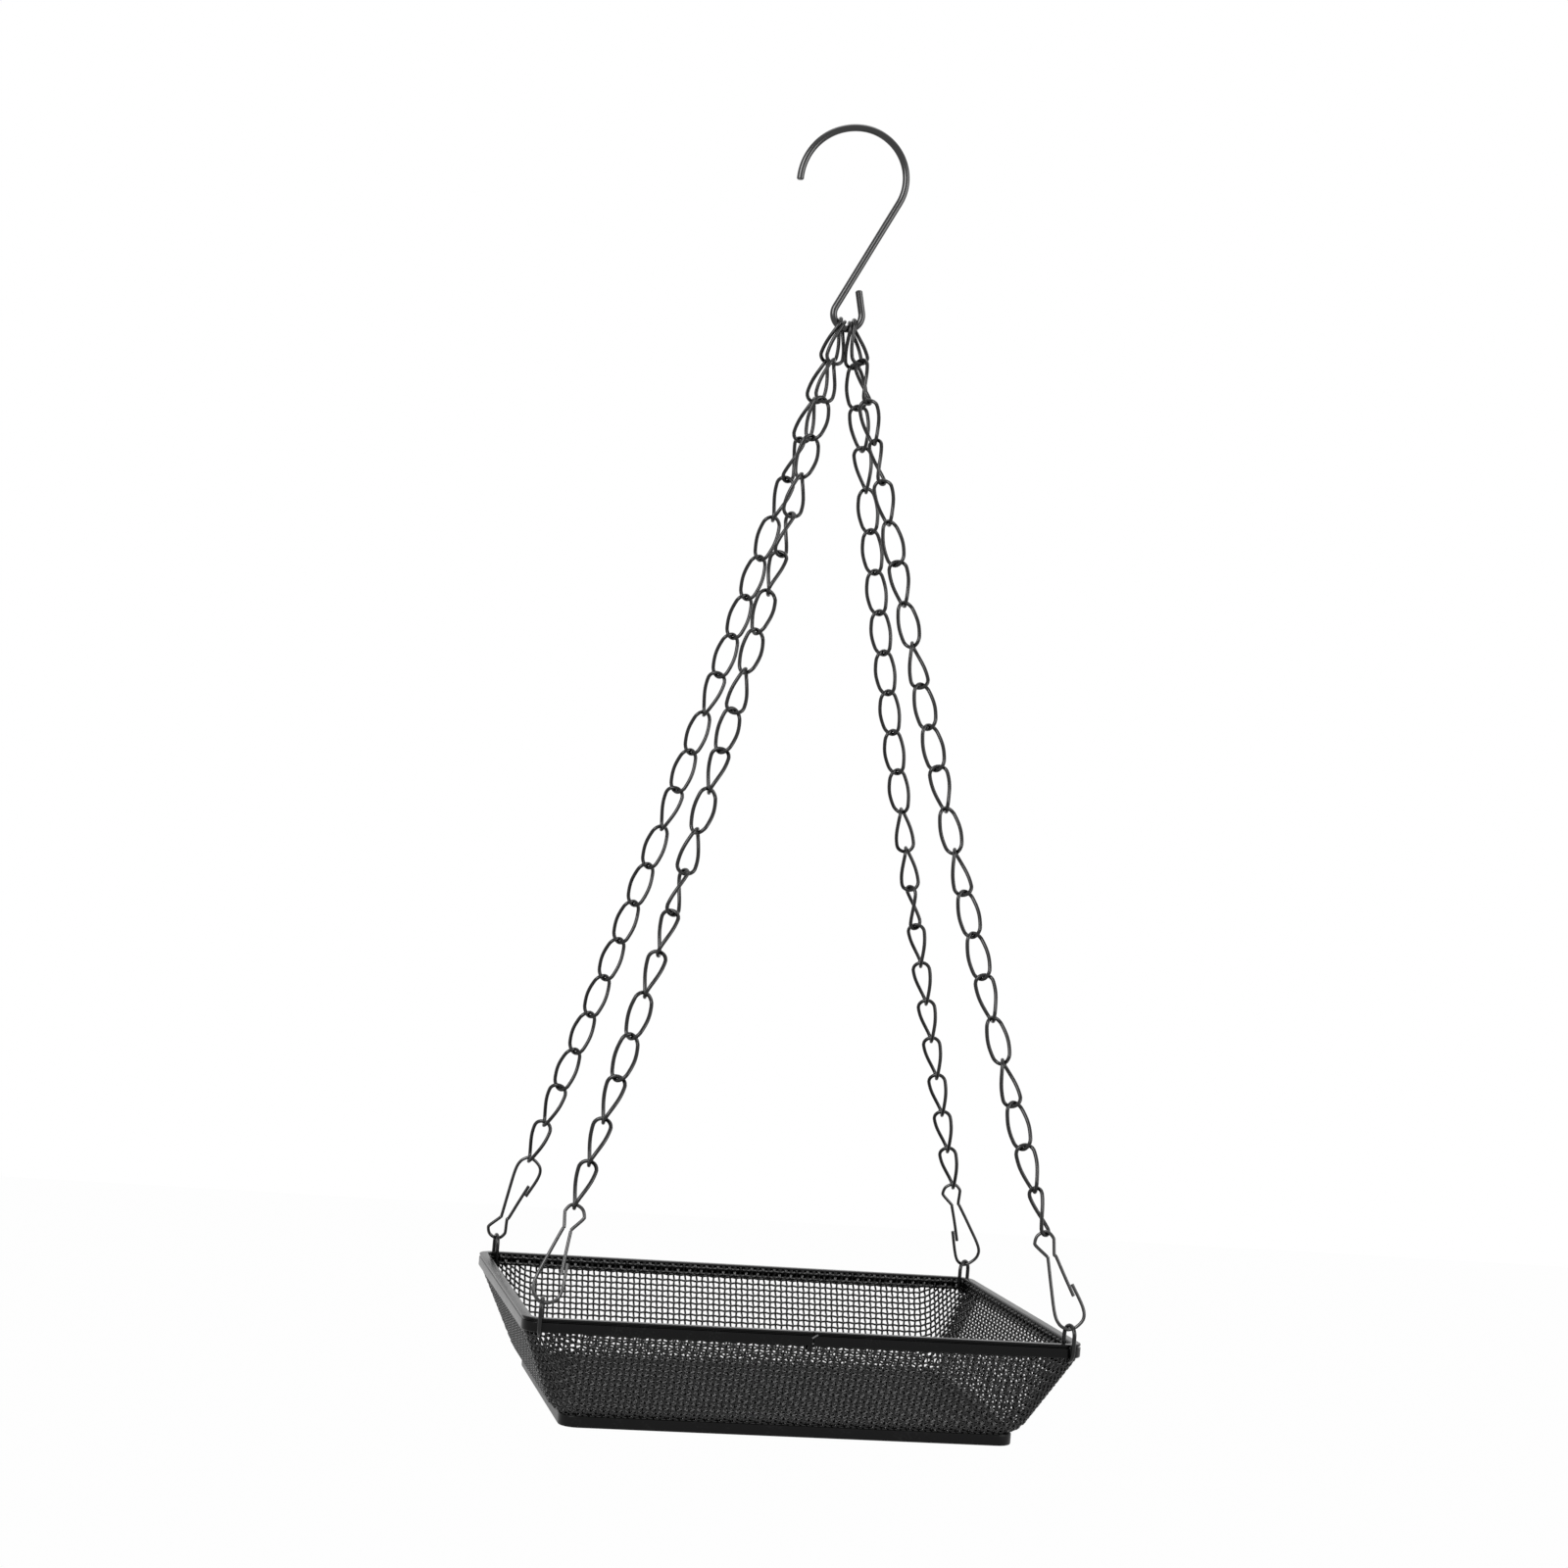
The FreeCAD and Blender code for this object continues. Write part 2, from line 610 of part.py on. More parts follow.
def frame_block(name, outer, inner, depth, level):
    """A plain ring of two outlines, from a level down by a depth. All are expressions."""
    sketch = free_sketch(name + "_lines")
    outline(sketch, "outer", *outer)
    outline(sketch, "inner", *inner)
    bind(sketch, "Placement.Base.z", level)
    block = doc.addObject("Part::Extrusion", name)
    block.Base = sketch
    block.DirMode = "Custom"
    block.Dir = Vector(0, 0, -1)
    block.Solid = True
    bind(block, "LengthFwd", depth)
    return block


def edge_names(shape, wanted):
    """Names of the edges that a test picks."""
    return ["Edge%d" % n for n, edge in enumerate(shape.Edges, start=1) if wanted(edge)]


def build_rim():
    """The rim: a strip folded to a channel over the cloth, with its ends meeting in the front."""
    body = new_body("rim_block")
    lines = plane_sketch(body, "rim_lines", "XY_Plane")
    outline(lines, "outer", "0", "Sizes.rim_corner")
    outline(lines, "inner", "Sizes.rim_thickness", "Sizes.rim_corner - Sizes.rim_thickness")
    pad = body.newObject("PartDesign::Pad", "rim_pad")
    pad.Profile = lines
    pad.Reversed = True
    bind(pad, "Length", "Sizes.rim_height")
    doc.recompute()
    ease = body.newObject("PartDesign::Chamfer", "rim_ease")
    ease.Base = (pad, edge_names(pad.Shape, lambda e: abs(e.BoundBox.ZMin) < 1e-6))
    bind(ease, "Size", "Sizes.rim_bevel")
    body.Tip = ease
    hollow = frame_block(
        "rim_hollow",
        ("Sizes.strip", "Sizes.rim_corner - Sizes.strip"),
        ("Sizes.rim_thickness - Sizes.strip", "Sizes.rim_corner - Sizes.rim_thickness + Sizes.strip"),
        "Sizes.rim_height - 2 * Sizes.strip - Sizes.rim_bevel / 2",
        "-Sizes.strip - Sizes.rim_bevel / 2",
    )
    slot_out = "(Sizes.rim_thickness - Sizes.cloth) / 2 - Sizes.cloth_play"
    slot_in = "(Sizes.rim_thickness + Sizes.cloth) / 2 + Sizes.cloth_play"
    slot = frame_block(
        "rim_slot",
        (slot_out, "Sizes.rim_corner - (%s)" % slot_out),
        (slot_in, "Sizes.rim_corner - (%s)" % slot_in),
        "Sizes.rim_height",
        "-Sizes.rim_height / 2",
    )
    seam = doc.addObject("Part::Box", "rim_seam")
    bind(seam, "Length", "Sizes.seam_gap")
    bind(seam, "Width", "2 * Sizes.rim_thickness")
    bind(seam, "Height", "2 * Sizes.rim_height")
    bind(seam, "Placement.Base.x", "Sizes.seam_place - Sizes.seam_gap / 2")
    bind(seam, "Placement.Base.y", "-Sizes.rim_width / 2 - Sizes.rim_thickness / 2")
    bind(seam, "Placement.Base.z", "-1.5 * Sizes.rim_height")
    cutters = doc.addObject("Part::MultiFuse", "rim_cutters")
    cutters.Shapes = [hollow, slot, seam]
    rim = doc.addObject("Part::Cut", "tray_rim")
    rim.Base = body
    rim.Tool = cutters
    return rim


def build_band():
    """The base band: a strip folded to a channel that opens inwards, under the floor's edge."""
    outer = "Sizes.band_inset"
    back = "Sizes.band_inset + Sizes.band_thickness"
    level = "-Sizes.pan_depth - Sizes.band_play"
    body = new_body("band_block")
    lines = plane_sketch(body, "band_lines", "XY_Plane", level)
    outline(lines, "outer", outer, "Sizes.band_corner")
    outline(lines, "inner", back, "Sizes.band_corner - Sizes.band_thickness")
    pad = body.newObject("PartDesign::Pad", "band_pad")
    pad.Profile = lines
    pad.Reversed = True
    bind(pad, "Length", "Sizes.band_height")
    doc.recompute()
    ease = body.newObject("PartDesign::Chamfer", "band_ease")

    def outer_edge(edge):
        box = edge.BoundBox
        flat = box.ZMax - box.ZMin < 1e-6
        limit_x = size("rim_length") / 2 - size("band_inset") - size("band_thickness") / 2
        limit_y = size("rim_width") / 2 - size("band_inset") - size("band_thickness") / 2
        middle = edge.valueAt((edge.FirstParameter + edge.LastParameter) / 2)
        corner = edge.Curve.TypeId == "Part::GeomCircle"
        wide = corner and edge.Curve.Radius > size("band_corner") - size("band_thickness") / 2
        beyond = not corner and (abs(middle.x) > limit_x or abs(middle.y) > limit_y)
        return flat and (wide or beyond)

    ease.Base = (pad, edge_names(pad.Shape, outer_edge))
    bind(ease, "Size", "Sizes.strip")
    body.Tip = ease
    wall = "Sizes.band_inset + Sizes.strip"
    hollow = frame_block(
        "band_hollow",
        (wall, "Sizes.band_corner - Sizes.strip"),
        (back + " + Sizes.strip", "Sizes.band_corner - Sizes.band_thickness - Sizes.strip"),
        "Sizes.band_height - 2 * Sizes.strip",
        level + " - Sizes.strip",
    )
    band = doc.addObject("Part::Cut", "base_band")
    band.Base = body
    band.Tool = hollow
    return band


def wall_spot(drop):
    """How far in from the rim's outside face the pan's outer skin lies at a drop below the rim."""
    start = (size("rim_thickness") - size("cloth")) / 2
    depth = size("pan_depth") - size("rim_height")
    return start + size("pan_inset") * (drop - size("rim_height")) / depth


def wall_lean():
    """Lean of a wall from upright, in radians."""
    return math.atan2(size("pan_inset"), size("pan_depth") - size("rim_height"))


def ridge_drops():
    """Drops below the rim of the ridges, the lowest just above the knuckle."""
    rows = int(size("ridge_rows"))
    upper = size("rim_height") + size("ring_hole") * 1.5
    lower = size("pan_depth") - size("knuckle") * (1 - math.sin(wall_lean()))
    return [upper + (lower - upper) * row / (rows - 1) for row in range(rows)]


# Walls of the pan, as the turn from the front wall in quarters.
FRONT, RIGHT, BACK, LEFT = range(4)


def wall_half(side):
    """Half the rim's outside size across the tray from a wall."""
    return size("rim_width" if side in (FRONT, BACK) else "rim_length") / 2


def wall_span(side, drop):
    """Length of the flat part of a wall at a drop below the rim."""
    along = size("rim_length" if side in (FRONT, BACK) else "rim_width")
    return along - 2 * wall_spot(drop) - 2 * size("pan_foot_corner")


def wall_block(side, along, drop, wide, high, inward, outward):
    """A block square to a wall, from a depth inside its outer skin to a height outside it."""
    block = Part.makeBox(wide, inward + outward, high)
    block.translate(Vector(-wide / 2, -outward, -high / 2))
    block.rotate(Vector(), Vector(1, 0, 0), math.degrees(wall_lean()))
    block.translate(Vector(along, wall_spot(drop) - wall_half(side), -drop))
    block.rotate(Vector(), Vector(0, 0, 1), 90 * side)
    return block


def ridge_bars():
    """Level ridges of the weave on all four walls."""
    bars = []
    for drop in ridge_drops():
        for side in (FRONT, RIGHT, BACK, LEFT):
            bars.append(wall_block(side, 0, drop, wall_span(side, drop), size("ridge_width"),
                                   size("cloth") / 2, size("ridge_height")))
    return bars


def gap_blocks():
    """Blocks that cut the gaps of the floor, inside the base band."""
    columns, rows = int(size("gap_columns")), int(size("gap_rows"))
    edge = size("band_inset") + size("band_thickness")
    step_x = (size("rim_length") - 2 * edge) / columns
    step_y = (size("rim_width") - 2 * edge) / rows
    long, wide, high = step_x - size("gap_bar"), step_y - size("gap_bar"), 3 * size("cloth")
    blocks = []
    for column in range(columns):
        for row in range(rows):
            block = Part.makeBox(long, wide, high)
            x = step_x * (column + 0.5 - columns / 2) - long / 2
            y = step_y * (row + 0.5 - rows / 2) - wide / 2
            block.translate(Vector(x, y, -size("pan_depth") - size("cloth")))
            blocks.append(block)
    return blocks


def ring_axis(corner):
    """Level way across the rim at a corner, in the plane of the ring, pointing outwards."""
    turn = math.radians(corner["ring_turn"])
    return Vector(corner["x"] * math.sin(turn), corner["y"] * math.cos(turn), 0)


def ring_holes():
    """Holes between the wires of the cloth, where a ring passes under the rim."""
    holes = []
    radius = size("ring_hole") / 2
    drop = size("rim_height") + ring_sag + size("joint_play") / 2 + size("ring_wire") / 2
    for corner in CORNERS.values():
        way = ring_axis(corner)
        start = ring_place(corner) - way * size("rim_thickness") + Vector(0, 0, -drop)
        holes.append(Part.makeCylinder(radius, 2 * size("rim_thickness"), start, way))
    return holes


def pan_form(name, inward, above):
    """The solid between the pan's skin and the top of its flange, as a body.

    inward moves the skin into the pan, and above lifts the flange's top. Both are expressions.
    """
    body = new_body(name)
    edge = "%s + %s" % (CLOTH_OUT, inward)
    corner = "Sizes.rim_corner - (%s)" % edge
    lines = plane_sketch(body, name + "_flange_lines", "XY_Plane", "-Sizes.rim_height")
    outline(lines, "flange", edge, corner)
    flange = body.newObject("PartDesign::Pad", name + "_flange")
    flange.Profile = lines
    bind(flange, "Length",
         "Sizes.rim_height - Sizes.strip - Sizes.rim_bevel / 2 - 2 * Sizes.cloth_play + " + above)
    upper = plane_sketch(body, name + "_head", "XY_Plane", "-Sizes.rim_height")
    outline(upper, "head", edge, corner)
    lower = plane_sketch(body, name + "_foot", "XY_Plane", "-Sizes.pan_depth + " + inward)
    outline(lower, "foot", "%s + %s" % (FOOT_OUT, inward), "Sizes.pan_foot_corner - " + inward)
    doc.recompute()
    wall = body.newObject("PartDesign::AdditiveLoft", name + "_wall")
    wall.Profile = upper
    wall.Sections = [lower]
    wall.Ruled = True
    doc.recompute()
    floor_z = wall.Shape.BoundBox.ZMin
    bend = body.newObject("PartDesign::Fillet", name + "_bend")
    bend.Base = (wall, edge_names(wall.Shape, lambda e: e.BoundBox.ZMax < floor_z + 1e-3))
    bind(bend, "Radius", "Sizes.knuckle - " + inward)
    body.Tip = bend
    doc.recompute()
    return body


def build_pan():
    """The pan: one drawn sheet of wire cloth, with a flange that stands in the rim."""
    outer = pan_form("pan_outside", "0 * Sizes.cloth", "0 * Sizes.cloth")
    inner = pan_form("pan_inside", "Sizes.cloth", "Sizes.cloth")
    shell = doc.addObject("Part::Cut", "pan_shell")
    shell.Base = outer
    shell.Tool = inner
    ridges = doc.addObject("Part::Feature", "pan_ridges")
    ridges.Shape = Part.makeCompound(ridge_bars())
    ridged = doc.addObject("Part::MultiFuse", "ridged_pan")
    ridged.Shapes = [shell, ridges]
    gaps = doc.addObject("Part::Feature", "pan_gaps")
    gaps.Shape = Part.makeCompound(gap_blocks() + ring_holes())
    pan = doc.addObject("Part::Cut", "mesh_pan")
    pan.Base = ridged
    pan.Tool = gaps
    return pan


def add_piece(name, shape, placement=None):
    """A sub-part whose shape is set by a function."""
    piece = doc.addObject("Part::Feature", name)
    piece.Shape = shape
    if placement:
        piece.Placement = placement
    return piece


def build_chain(name, corner, link):
    """The links of one chain, two to a node, and its clip."""
    joints = chain_joints(corner)
    rolls = chain_rolls(name)
    placed = []
    for number, turn in enumerate(rolls):
        copy = link.copy()
        copy.Placement = frame_at(joints[number], joints[number + 1], turn)
        placed.append(copy)
    pieces = []
    for first in range(0, len(placed), 2):
        group = placed[first:first + 2]
        label = "%s_links_%02d_%02d" % (name, first + 1, first + len(group))
        pieces.append(add_piece(label, Part.makeCompound(group)))
    ring_top = ring_place(corner) + Vector(0, 0, ring_inside_top)
    turn = rolls[-1]
    flat = round(turn / 180.0) * 180.0
    clip_turn = flat + max(-MOST_TURN, min(MOST_TURN, turn - flat)) * 0.5
    placement = frame_at(joints[-1], ring_top, clip_turn - flat)
    pieces.append(add_piece(name + "_clip", clip_solid(corner), placement))
    return pieces


def build_ring(name, corner, ring):
    """A ring closed round the rim at its corner."""
    way = ring_axis(corner)
    middle = ring_place(corner)
    inside_low = rim_top - size("rim_height") - ring_sag - size("joint_play") / 2
    middle.z = inside_low + size("ring_inside_length") / 2
    turn = math.degrees(math.atan2(way.y, way.x))
    return add_piece(name + "_ring", ring, Placement(middle, Rotation(Vector(0, 0, 1), turn)))


hook = build_hook()
tray = [build_rim(), build_pan(), build_band()]
for piece in tray:
    piece.Placement = Placement(Vector(0, 0, rim_top), Rotation())
pieces = [hook] + tray
link = link_solid()
ring = ring_solid()
for name, corner in CORNERS.items():
    pieces += build_chain(name, corner, link)
    pieces.append(build_ring(name, corner, ring))
doc.recompute()

for thing in doc.Objects:
    if "Invalid" in thing.State or "Error" in thing.State:
        raise RuntimeError("%s is in state %s" % (thing.Name, thing.State))
for piece in pieces:
    if piece.Shape.isNull() or not piece.Shape.isValid():
        raise RuntimeError("the shape of %s is not valid" % piece.Label)

os.makedirs("parts", exist_ok=True)
for piece in pieces:
    piece.Shape.exportStep("parts/%s.step" % piece.Label)
print("rim top at %.2f mm, %d sub-parts" % (rim_top, len(pieces)))
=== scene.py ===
"""Looks of a hanging platform feeder: a drawn wire-cloth tray on four chains and an S hook.

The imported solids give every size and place. The woven cloth, the folded rim and band, the round
links, clips and rings are built here over them, all in metres.
"""

from __future__ import annotations

import json
import logging
import math
from dataclasses import dataclass, field
from enum import Enum
from typing import Any, Callable, Sequence

import bpy
import numpy as np
from mathutils import Matrix, Vector

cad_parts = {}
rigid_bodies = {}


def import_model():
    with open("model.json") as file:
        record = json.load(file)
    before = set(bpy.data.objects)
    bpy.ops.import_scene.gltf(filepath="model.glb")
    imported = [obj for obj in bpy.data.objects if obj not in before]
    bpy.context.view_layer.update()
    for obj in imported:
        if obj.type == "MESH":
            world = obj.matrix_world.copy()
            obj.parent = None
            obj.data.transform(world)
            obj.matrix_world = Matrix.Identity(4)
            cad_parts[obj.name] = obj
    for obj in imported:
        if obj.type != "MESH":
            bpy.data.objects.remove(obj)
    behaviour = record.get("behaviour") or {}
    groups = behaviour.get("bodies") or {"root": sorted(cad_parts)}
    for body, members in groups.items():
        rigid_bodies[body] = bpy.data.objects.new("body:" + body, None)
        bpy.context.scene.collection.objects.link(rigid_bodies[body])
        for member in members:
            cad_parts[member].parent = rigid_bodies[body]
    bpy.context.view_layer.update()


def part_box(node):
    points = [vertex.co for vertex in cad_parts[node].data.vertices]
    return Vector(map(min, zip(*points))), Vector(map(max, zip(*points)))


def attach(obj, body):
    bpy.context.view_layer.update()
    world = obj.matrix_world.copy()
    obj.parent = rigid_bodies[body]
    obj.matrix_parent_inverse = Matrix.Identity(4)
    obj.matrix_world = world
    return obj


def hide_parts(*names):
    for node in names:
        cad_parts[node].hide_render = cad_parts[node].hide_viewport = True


log = logging.getLogger("feeder")

MM = 0.001
HOOK_WIRE = 3.8 * MM
SHEET = 0.6 * MM  # strip that the rim and the base band are folded from
ACROSS = 5 * MM  # rim and base band, from the outside face to the inside face
SEAM = 2 * MM  # rim's seam, to the right of the middle of the front
SEAM_GAP = 0.4 * MM
SOLID_CLOTH = 1.0 * MM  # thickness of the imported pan's sheet
TINY = 1e-12  # keeps a division clear of zero
TRAY_BODY = "hung_tray"

Outline = list[tuple[float, float]]
Relief = Callable[[np.ndarray, np.ndarray], np.ndarray]


class Corner(Enum):
    """The tray's corners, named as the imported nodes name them."""

    BACK_LEFT = "back_left"
    FRONT_LEFT = "front_left"
    BACK_RIGHT = "back_right"
    FRONT_RIGHT = "front_right"


# Shader maths


class Socket:
    """A shader output that takes part in sums, so that maths reads as an expression."""

    def __init__(self, shader: "Shader", output: Any) -> None:
        self.shader = shader
        self.output = output

    def _math(self, operation: str, first: Any, second: Any) -> "Socket":
        """Adds one Math node on two values or links."""
        return self.shader.node("ShaderNodeMath", {"operation": operation}, {0: first, 1: second})

    def __add__(self, other: Any) -> "Socket":
        """This value plus another."""
        return self._math("ADD", self, other)

    __radd__ = __add__

    def __mul__(self, other: Any) -> "Socket":
        """This value times another."""
        return self._math("MULTIPLY", self, other)

    __rmul__ = __mul__

    def above(self, level: float) -> "Socket":
        """1 where this value is above a level, and 0 elsewhere."""
        return self._math("GREATER_THAN", self, level)

    def either(self, other: "Socket") -> "Socket":
        """The larger of this value and another."""
        return self._math("MAXIMUM", self, other)


class Shader:
    """A node tree that is filled one node at a time."""

    def __init__(self, tree: Any) -> None:
        self.tree = tree
        tree.nodes.clear()

    def node(
        self,
        kind: str,
        settings: dict[str, Any] | None = None,
        inputs: dict[Any, Any] | None = None,
        output: int | str = 0,
    ) -> Socket:
        """Adds a node.

        Args:
            kind: The node's type name.
            settings: Properties that are set before the sockets.
            inputs: Value or link for each socket, by index or name.
            output: Which of its outputs is returned.

        Returns:
            The chosen output.
        """
        made = self.tree.nodes.new(kind)
        for name, value in (settings or {}).items():
            setattr(made, name, value)
        for key, value in (inputs or {}).items():
            if isinstance(value, Socket):
                self.tree.links.new(value.output, made.inputs[key])
            else:
                made.inputs[key].default_value = value
        return Socket(self, made.outputs[output] if len(made.outputs) else None)

    def noise(self, where: Socket, scale: float, detail: float) -> Socket:
        """A soft random value from 0 to 1, by spots to a metre and octaves of finer ones."""
        inputs = {"Vector": where, "Scale": scale, "Detail": detail}
        return self.node("ShaderNodeTexNoise", {}, inputs, 0)

    def blend(self, share: Any, first: Sequence[float], second: Sequence[float]) -> Socket:
        """A colour between two, by a share from 0 to 1."""
        settings = {"data_type": "RGBA"}
        return self.node("ShaderNodeMix", settings, {0: share, 6: (*first, 1), 7: (*second, 1)}, 2)


@dataclass(frozen=True)
class BlackCoat:
    """A black baked coat on steel, a little uneven, with pale dust where it is rubbed.

    Attributes:
        name: Material name.
        slot: The record's material slot, which is not used.
        dark: Colour of the coat, linear.
        pale: Colour of its rubbed and dusty spots, linear.
        roughness: Roughness of the smooth coat.
        uneven: How much rougher the dull patches are.
        peel: Bumps to a metre in the coat's skin.
        depth: Height of those bumps in metres.
        gloss: Specular level of the coat.
        patch: Dull patches to a metre.
        dusty: Strength of patch and speck together that carries dust.
    """

    name: str
    slot: str
    dark: tuple[float, float, float] = (0.0012, 0.0012, 0.0013)
    pale: tuple[float, float, float] = (0.007, 0.007, 0.0073)
    roughness: float = 0.2
    uneven: float = 0.16
    peel: float = 900.0
    depth: float = 0.000006
    gloss: float = 0.14
    patch: float = 60.0
    dusty: float = 0.34

    def material(self) -> Any:
        """Makes the material.

        Returns:
            The material.
        """
        made = bpy.data.materials.new(self.name)
        made.use_nodes = True
        shader = Shader(made.node_tree)
        where = shader.node("ShaderNodeTexCoord", {}, {}, "Object")
        patches = shader.noise(where, self.patch, 2.0)
        specks = shader.noise(where, self.peel, 3.0)
        dust = (patches * specks).above(self.dusty) * patches
        colour = shader.blend(dust, self.dark, self.pale)
        rough = (self.roughness - self.uneven / 2) + self.uneven * patches
        bump_inputs = {"Strength": 0.6, "Distance": self.depth, "Height": specks}
        bump = shader.node("ShaderNodeBump", {}, bump_inputs)
        coat = {
            "Base Color": colour,
            "Roughness": rough,
            "Specular IOR Level": self.gloss,
            "Normal": bump,
        }
        surface = shader.node("ShaderNodeBsdfPrincipled", {}, coat)
        shader.node("ShaderNodeOutputMaterial", {}, {"Surface": surface})
        return made


@dataclass(frozen=True)
class Finishes:
    """The finish of each kind of piece."""

    hook: BlackCoat = BlackCoat("hook_black", "hook_coat", uneven=0.06, gloss=0.6)
    chain: BlackCoat = BlackCoat("chain_black", "chain_coat", gloss=0.4)
    clip: BlackCoat = BlackCoat("clip_black", "clip_coat", gloss=0.7)
    ring: BlackCoat = BlackCoat("ring_black", "ring_coat", gloss=0.34)
    cloth: BlackCoat = BlackCoat(
        "cloth_black", "cloth_coat", roughness=0.13, uneven=0.06, gloss=0.34
    )
    rim: BlackCoat = BlackCoat("rim_black", "rim_coat", roughness=0.24, uneven=0.08, depth=1.5e-5)
    band: BlackCoat = BlackCoat(
        "band_black", "band_coat", roughness=0.34, uneven=0.08, depth=1.5e-5
    )
    # Light grey coat of the raised seam edges: a painted highlight, far lighter than the black
    # coat, so that the seam's tick reads light.
    edge: BlackCoat = BlackCoat(
        "seam_painted_highlight_grey", "rim_coat", (0.09, 0.09, 0.092), (0.2, 0.2, 0.2), roughness=0.3, gloss=0.5
    )


# Meshes


@dataclass
class MeshParts:
    """Vertices and faces that are gathered before one mesh is made of them."""

    points: list[np.ndarray] = field(default_factory=list)
    faces: list[np.ndarray] = field(default_factory=list)
    count: int = 0

    def add(self, points: np.ndarray, faces: np.ndarray) -> None:
        """Adds points and the faces on them, which are all quads or all triangles."""
        self.points.append(points)
        self.faces.append(faces + self.count)
        self.count += len(points)

    def piece(self, name: str, finish: BlackCoat, node: str = "") -> Any:
        """Makes the object, which moves with the tray.

        Args:
            name: Its name.
            finish: Its coat.
            node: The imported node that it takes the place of, if any.

        Returns:
            The object, smooth shaded and in the scene.
        """
        mesh = bpy.data.meshes.new(name)
        faces = [face for group in self.faces for face in group.tolist()]
        mesh.from_pydata(np.concatenate(self.points).tolist(), [], faces)
        mesh.polygons.foreach_set("use_smooth", [True] * len(mesh.polygons))
        mesh.update()
        made = bpy.data.objects.new(name, mesh)
        bpy.context.scene.collection.objects.link(made)
        mesh.materials.append(bpy.data.materials.get(finish.name) or finish.material())
        if node:
            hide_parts(node)
        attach(made, TRAY_BODY)
        return made


def unit_rows(rows: np.ndarray) -> np.ndarray:
    """Each row at length 1."""
    return rows / np.maximum(np.linalg.norm(rows, axis=1, keepdims=True), TINY)


def add_wire(
    parts: MeshParts, path: np.ndarray, side: np.ndarray, radius: float, sides: int, closed: bool
) -> None:
    """Adds a round wire along a path.

    Args:
        parts: Where it is gathered.
        path: Its centreline, a point to a row.
        side: A direction across the wire at each point, which needn't be square to it.
        radius: Half the wire's thickness.
        sides: Flats round the wire.
        closed: Whether the last point runs on to the first.
    """
    if closed:
        along = unit_rows(np.roll(path, -1, axis=0) - np.roll(path, 1, axis=0))
    else:
        along = unit_rows(np.gradient(path, axis=0))
    across = unit_rows(side - along * np.sum(side * along, axis=1, keepdims=True))
    other = np.cross(along, across)
    turns = np.arange(sides) * 2 * math.pi / sides
    ring = np.cos(turns)[None, :, None] * across[:, None, :]
    ring = ring + np.sin(turns)[None, :, None] * other[:, None, :]
    points = (path[:, None, :] + radius * ring).reshape(-1, 3)
    count = len(path)
    starts = np.arange(count if closed else count - 1)
    quads = []
    for flat in range(sides):
        after = (flat + 1) % sides
        here, there = starts * sides, (starts + 1) % count * sides
        quads.append(np.stack([here + flat, here + after, there + after, there + flat], axis=1))
    parts.add(points, np.concatenate(quads))
    if not closed:
        for end, order in ((0, 1), (count - 1, -1)):
            tip = np.vstack([path[end], points[end * sides : (end + 1) * sides]])
            fan = [[0, 1 + (k + 1) % sides, 1 + k][::order] for k in range(sides)]
            parts.add(tip, np.array(fan))


def smooth_path(corners: np.ndarray, steps: int) -> np.ndarray:
    """A curve through points, held at its two ends.

    Args:
        corners: The points, a row each.
        steps: Points made for each span.

    Returns:
        The points of the curve.
    """
    made = []
    held = np.concatenate([corners[:1], corners, corners[-1:]])
    for before, here, there, after in zip(held, held[1:], held[2:], held[3:]):
        square = 2 * before - 5 * here + 4 * there - after
        cube = 3 * here - before - 3 * there + after
        for t in np.arange(steps) / steps:
            made.append((2 * here + (there - before) * t + square * t**2 + cube * t**3) / 2)
    return np.array([*made, corners[-1]])


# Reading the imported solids


@dataclass(frozen=True)
class Pose:
    """Where a small piece sits: its middle and three square directions."""

    middle: np.ndarray
    right: np.ndarray
    depth: np.ndarray
    up: np.ndarray

    def place(self, points: np.ndarray) -> np.ndarray:
        """Points from the piece's own frame to the row's."""
        return self.middle + points @ np.stack([self.right, self.depth, self.up])


def separate_solids(node: str) -> list[np.ndarray]:
    """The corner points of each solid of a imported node.

    Args:
        node: The node's name.

    Returns:
        One array of points for each solid, the highest solid first.
    """
    mesh = bpy.data.objects[node].data
    places: dict[tuple[int, int, int], int] = {}
    owner: list[int] = []
    points: list[Vector] = []
    for vertex in mesh.vertices:
        key = tuple(round(c * 1e6) for c in vertex.co)
        if key not in places:
            places[key] = len(points)
            points.append(vertex.co)
        owner.append(places[key])
    root = list(range(len(points)))

    def find(item: int) -> int:
        """The first point of an item's group."""
        while root[item] != item:
            root[item] = root[root[item]]
            item = root[item]
        return item

    for polygon in mesh.polygons:
        first = find(owner[polygon.vertices[0]])
        for vertex in polygon.vertices[1:]:
            root[find(owner[vertex])] = first
    groups: dict[int, list[Vector]] = {}
    for index, point in enumerate(points):
        groups.setdefault(find(index), []).append(point)
    solids = [np.array(group, float) for group in groups.values()]
    return sorted(solids, key=lambda solid: -solid[:, 2].mean())


def main_directions(points: np.ndarray) -> np.ndarray:
    """Directions of least to greatest spread of points, a row each."""
    middle = points.mean(axis=0)
    return np.linalg.svd(points - middle)[2][::-1]


def link_pose(points: np.ndarray) -> Pose:
    """Where a link sits, from the corners of its solid: its upper bend lies along right."""
    middle = points.mean(axis=0)
    up = main_directions(points)[2]
    up = up if up[2] > 0 else -up
    height = (points - middle) @ up
    crown_depth = 2.1 * MM
    crown = points[height > height.max() - crown_depth]
    flat = crown - np.outer((crown - middle) @ up, up)
    right = main_directions(flat)[2]
    right = right - up * (right @ up)
    right /= np.linalg.norm(right)
    return Pose(middle, right, np.cross(up, right), up)


# The chains


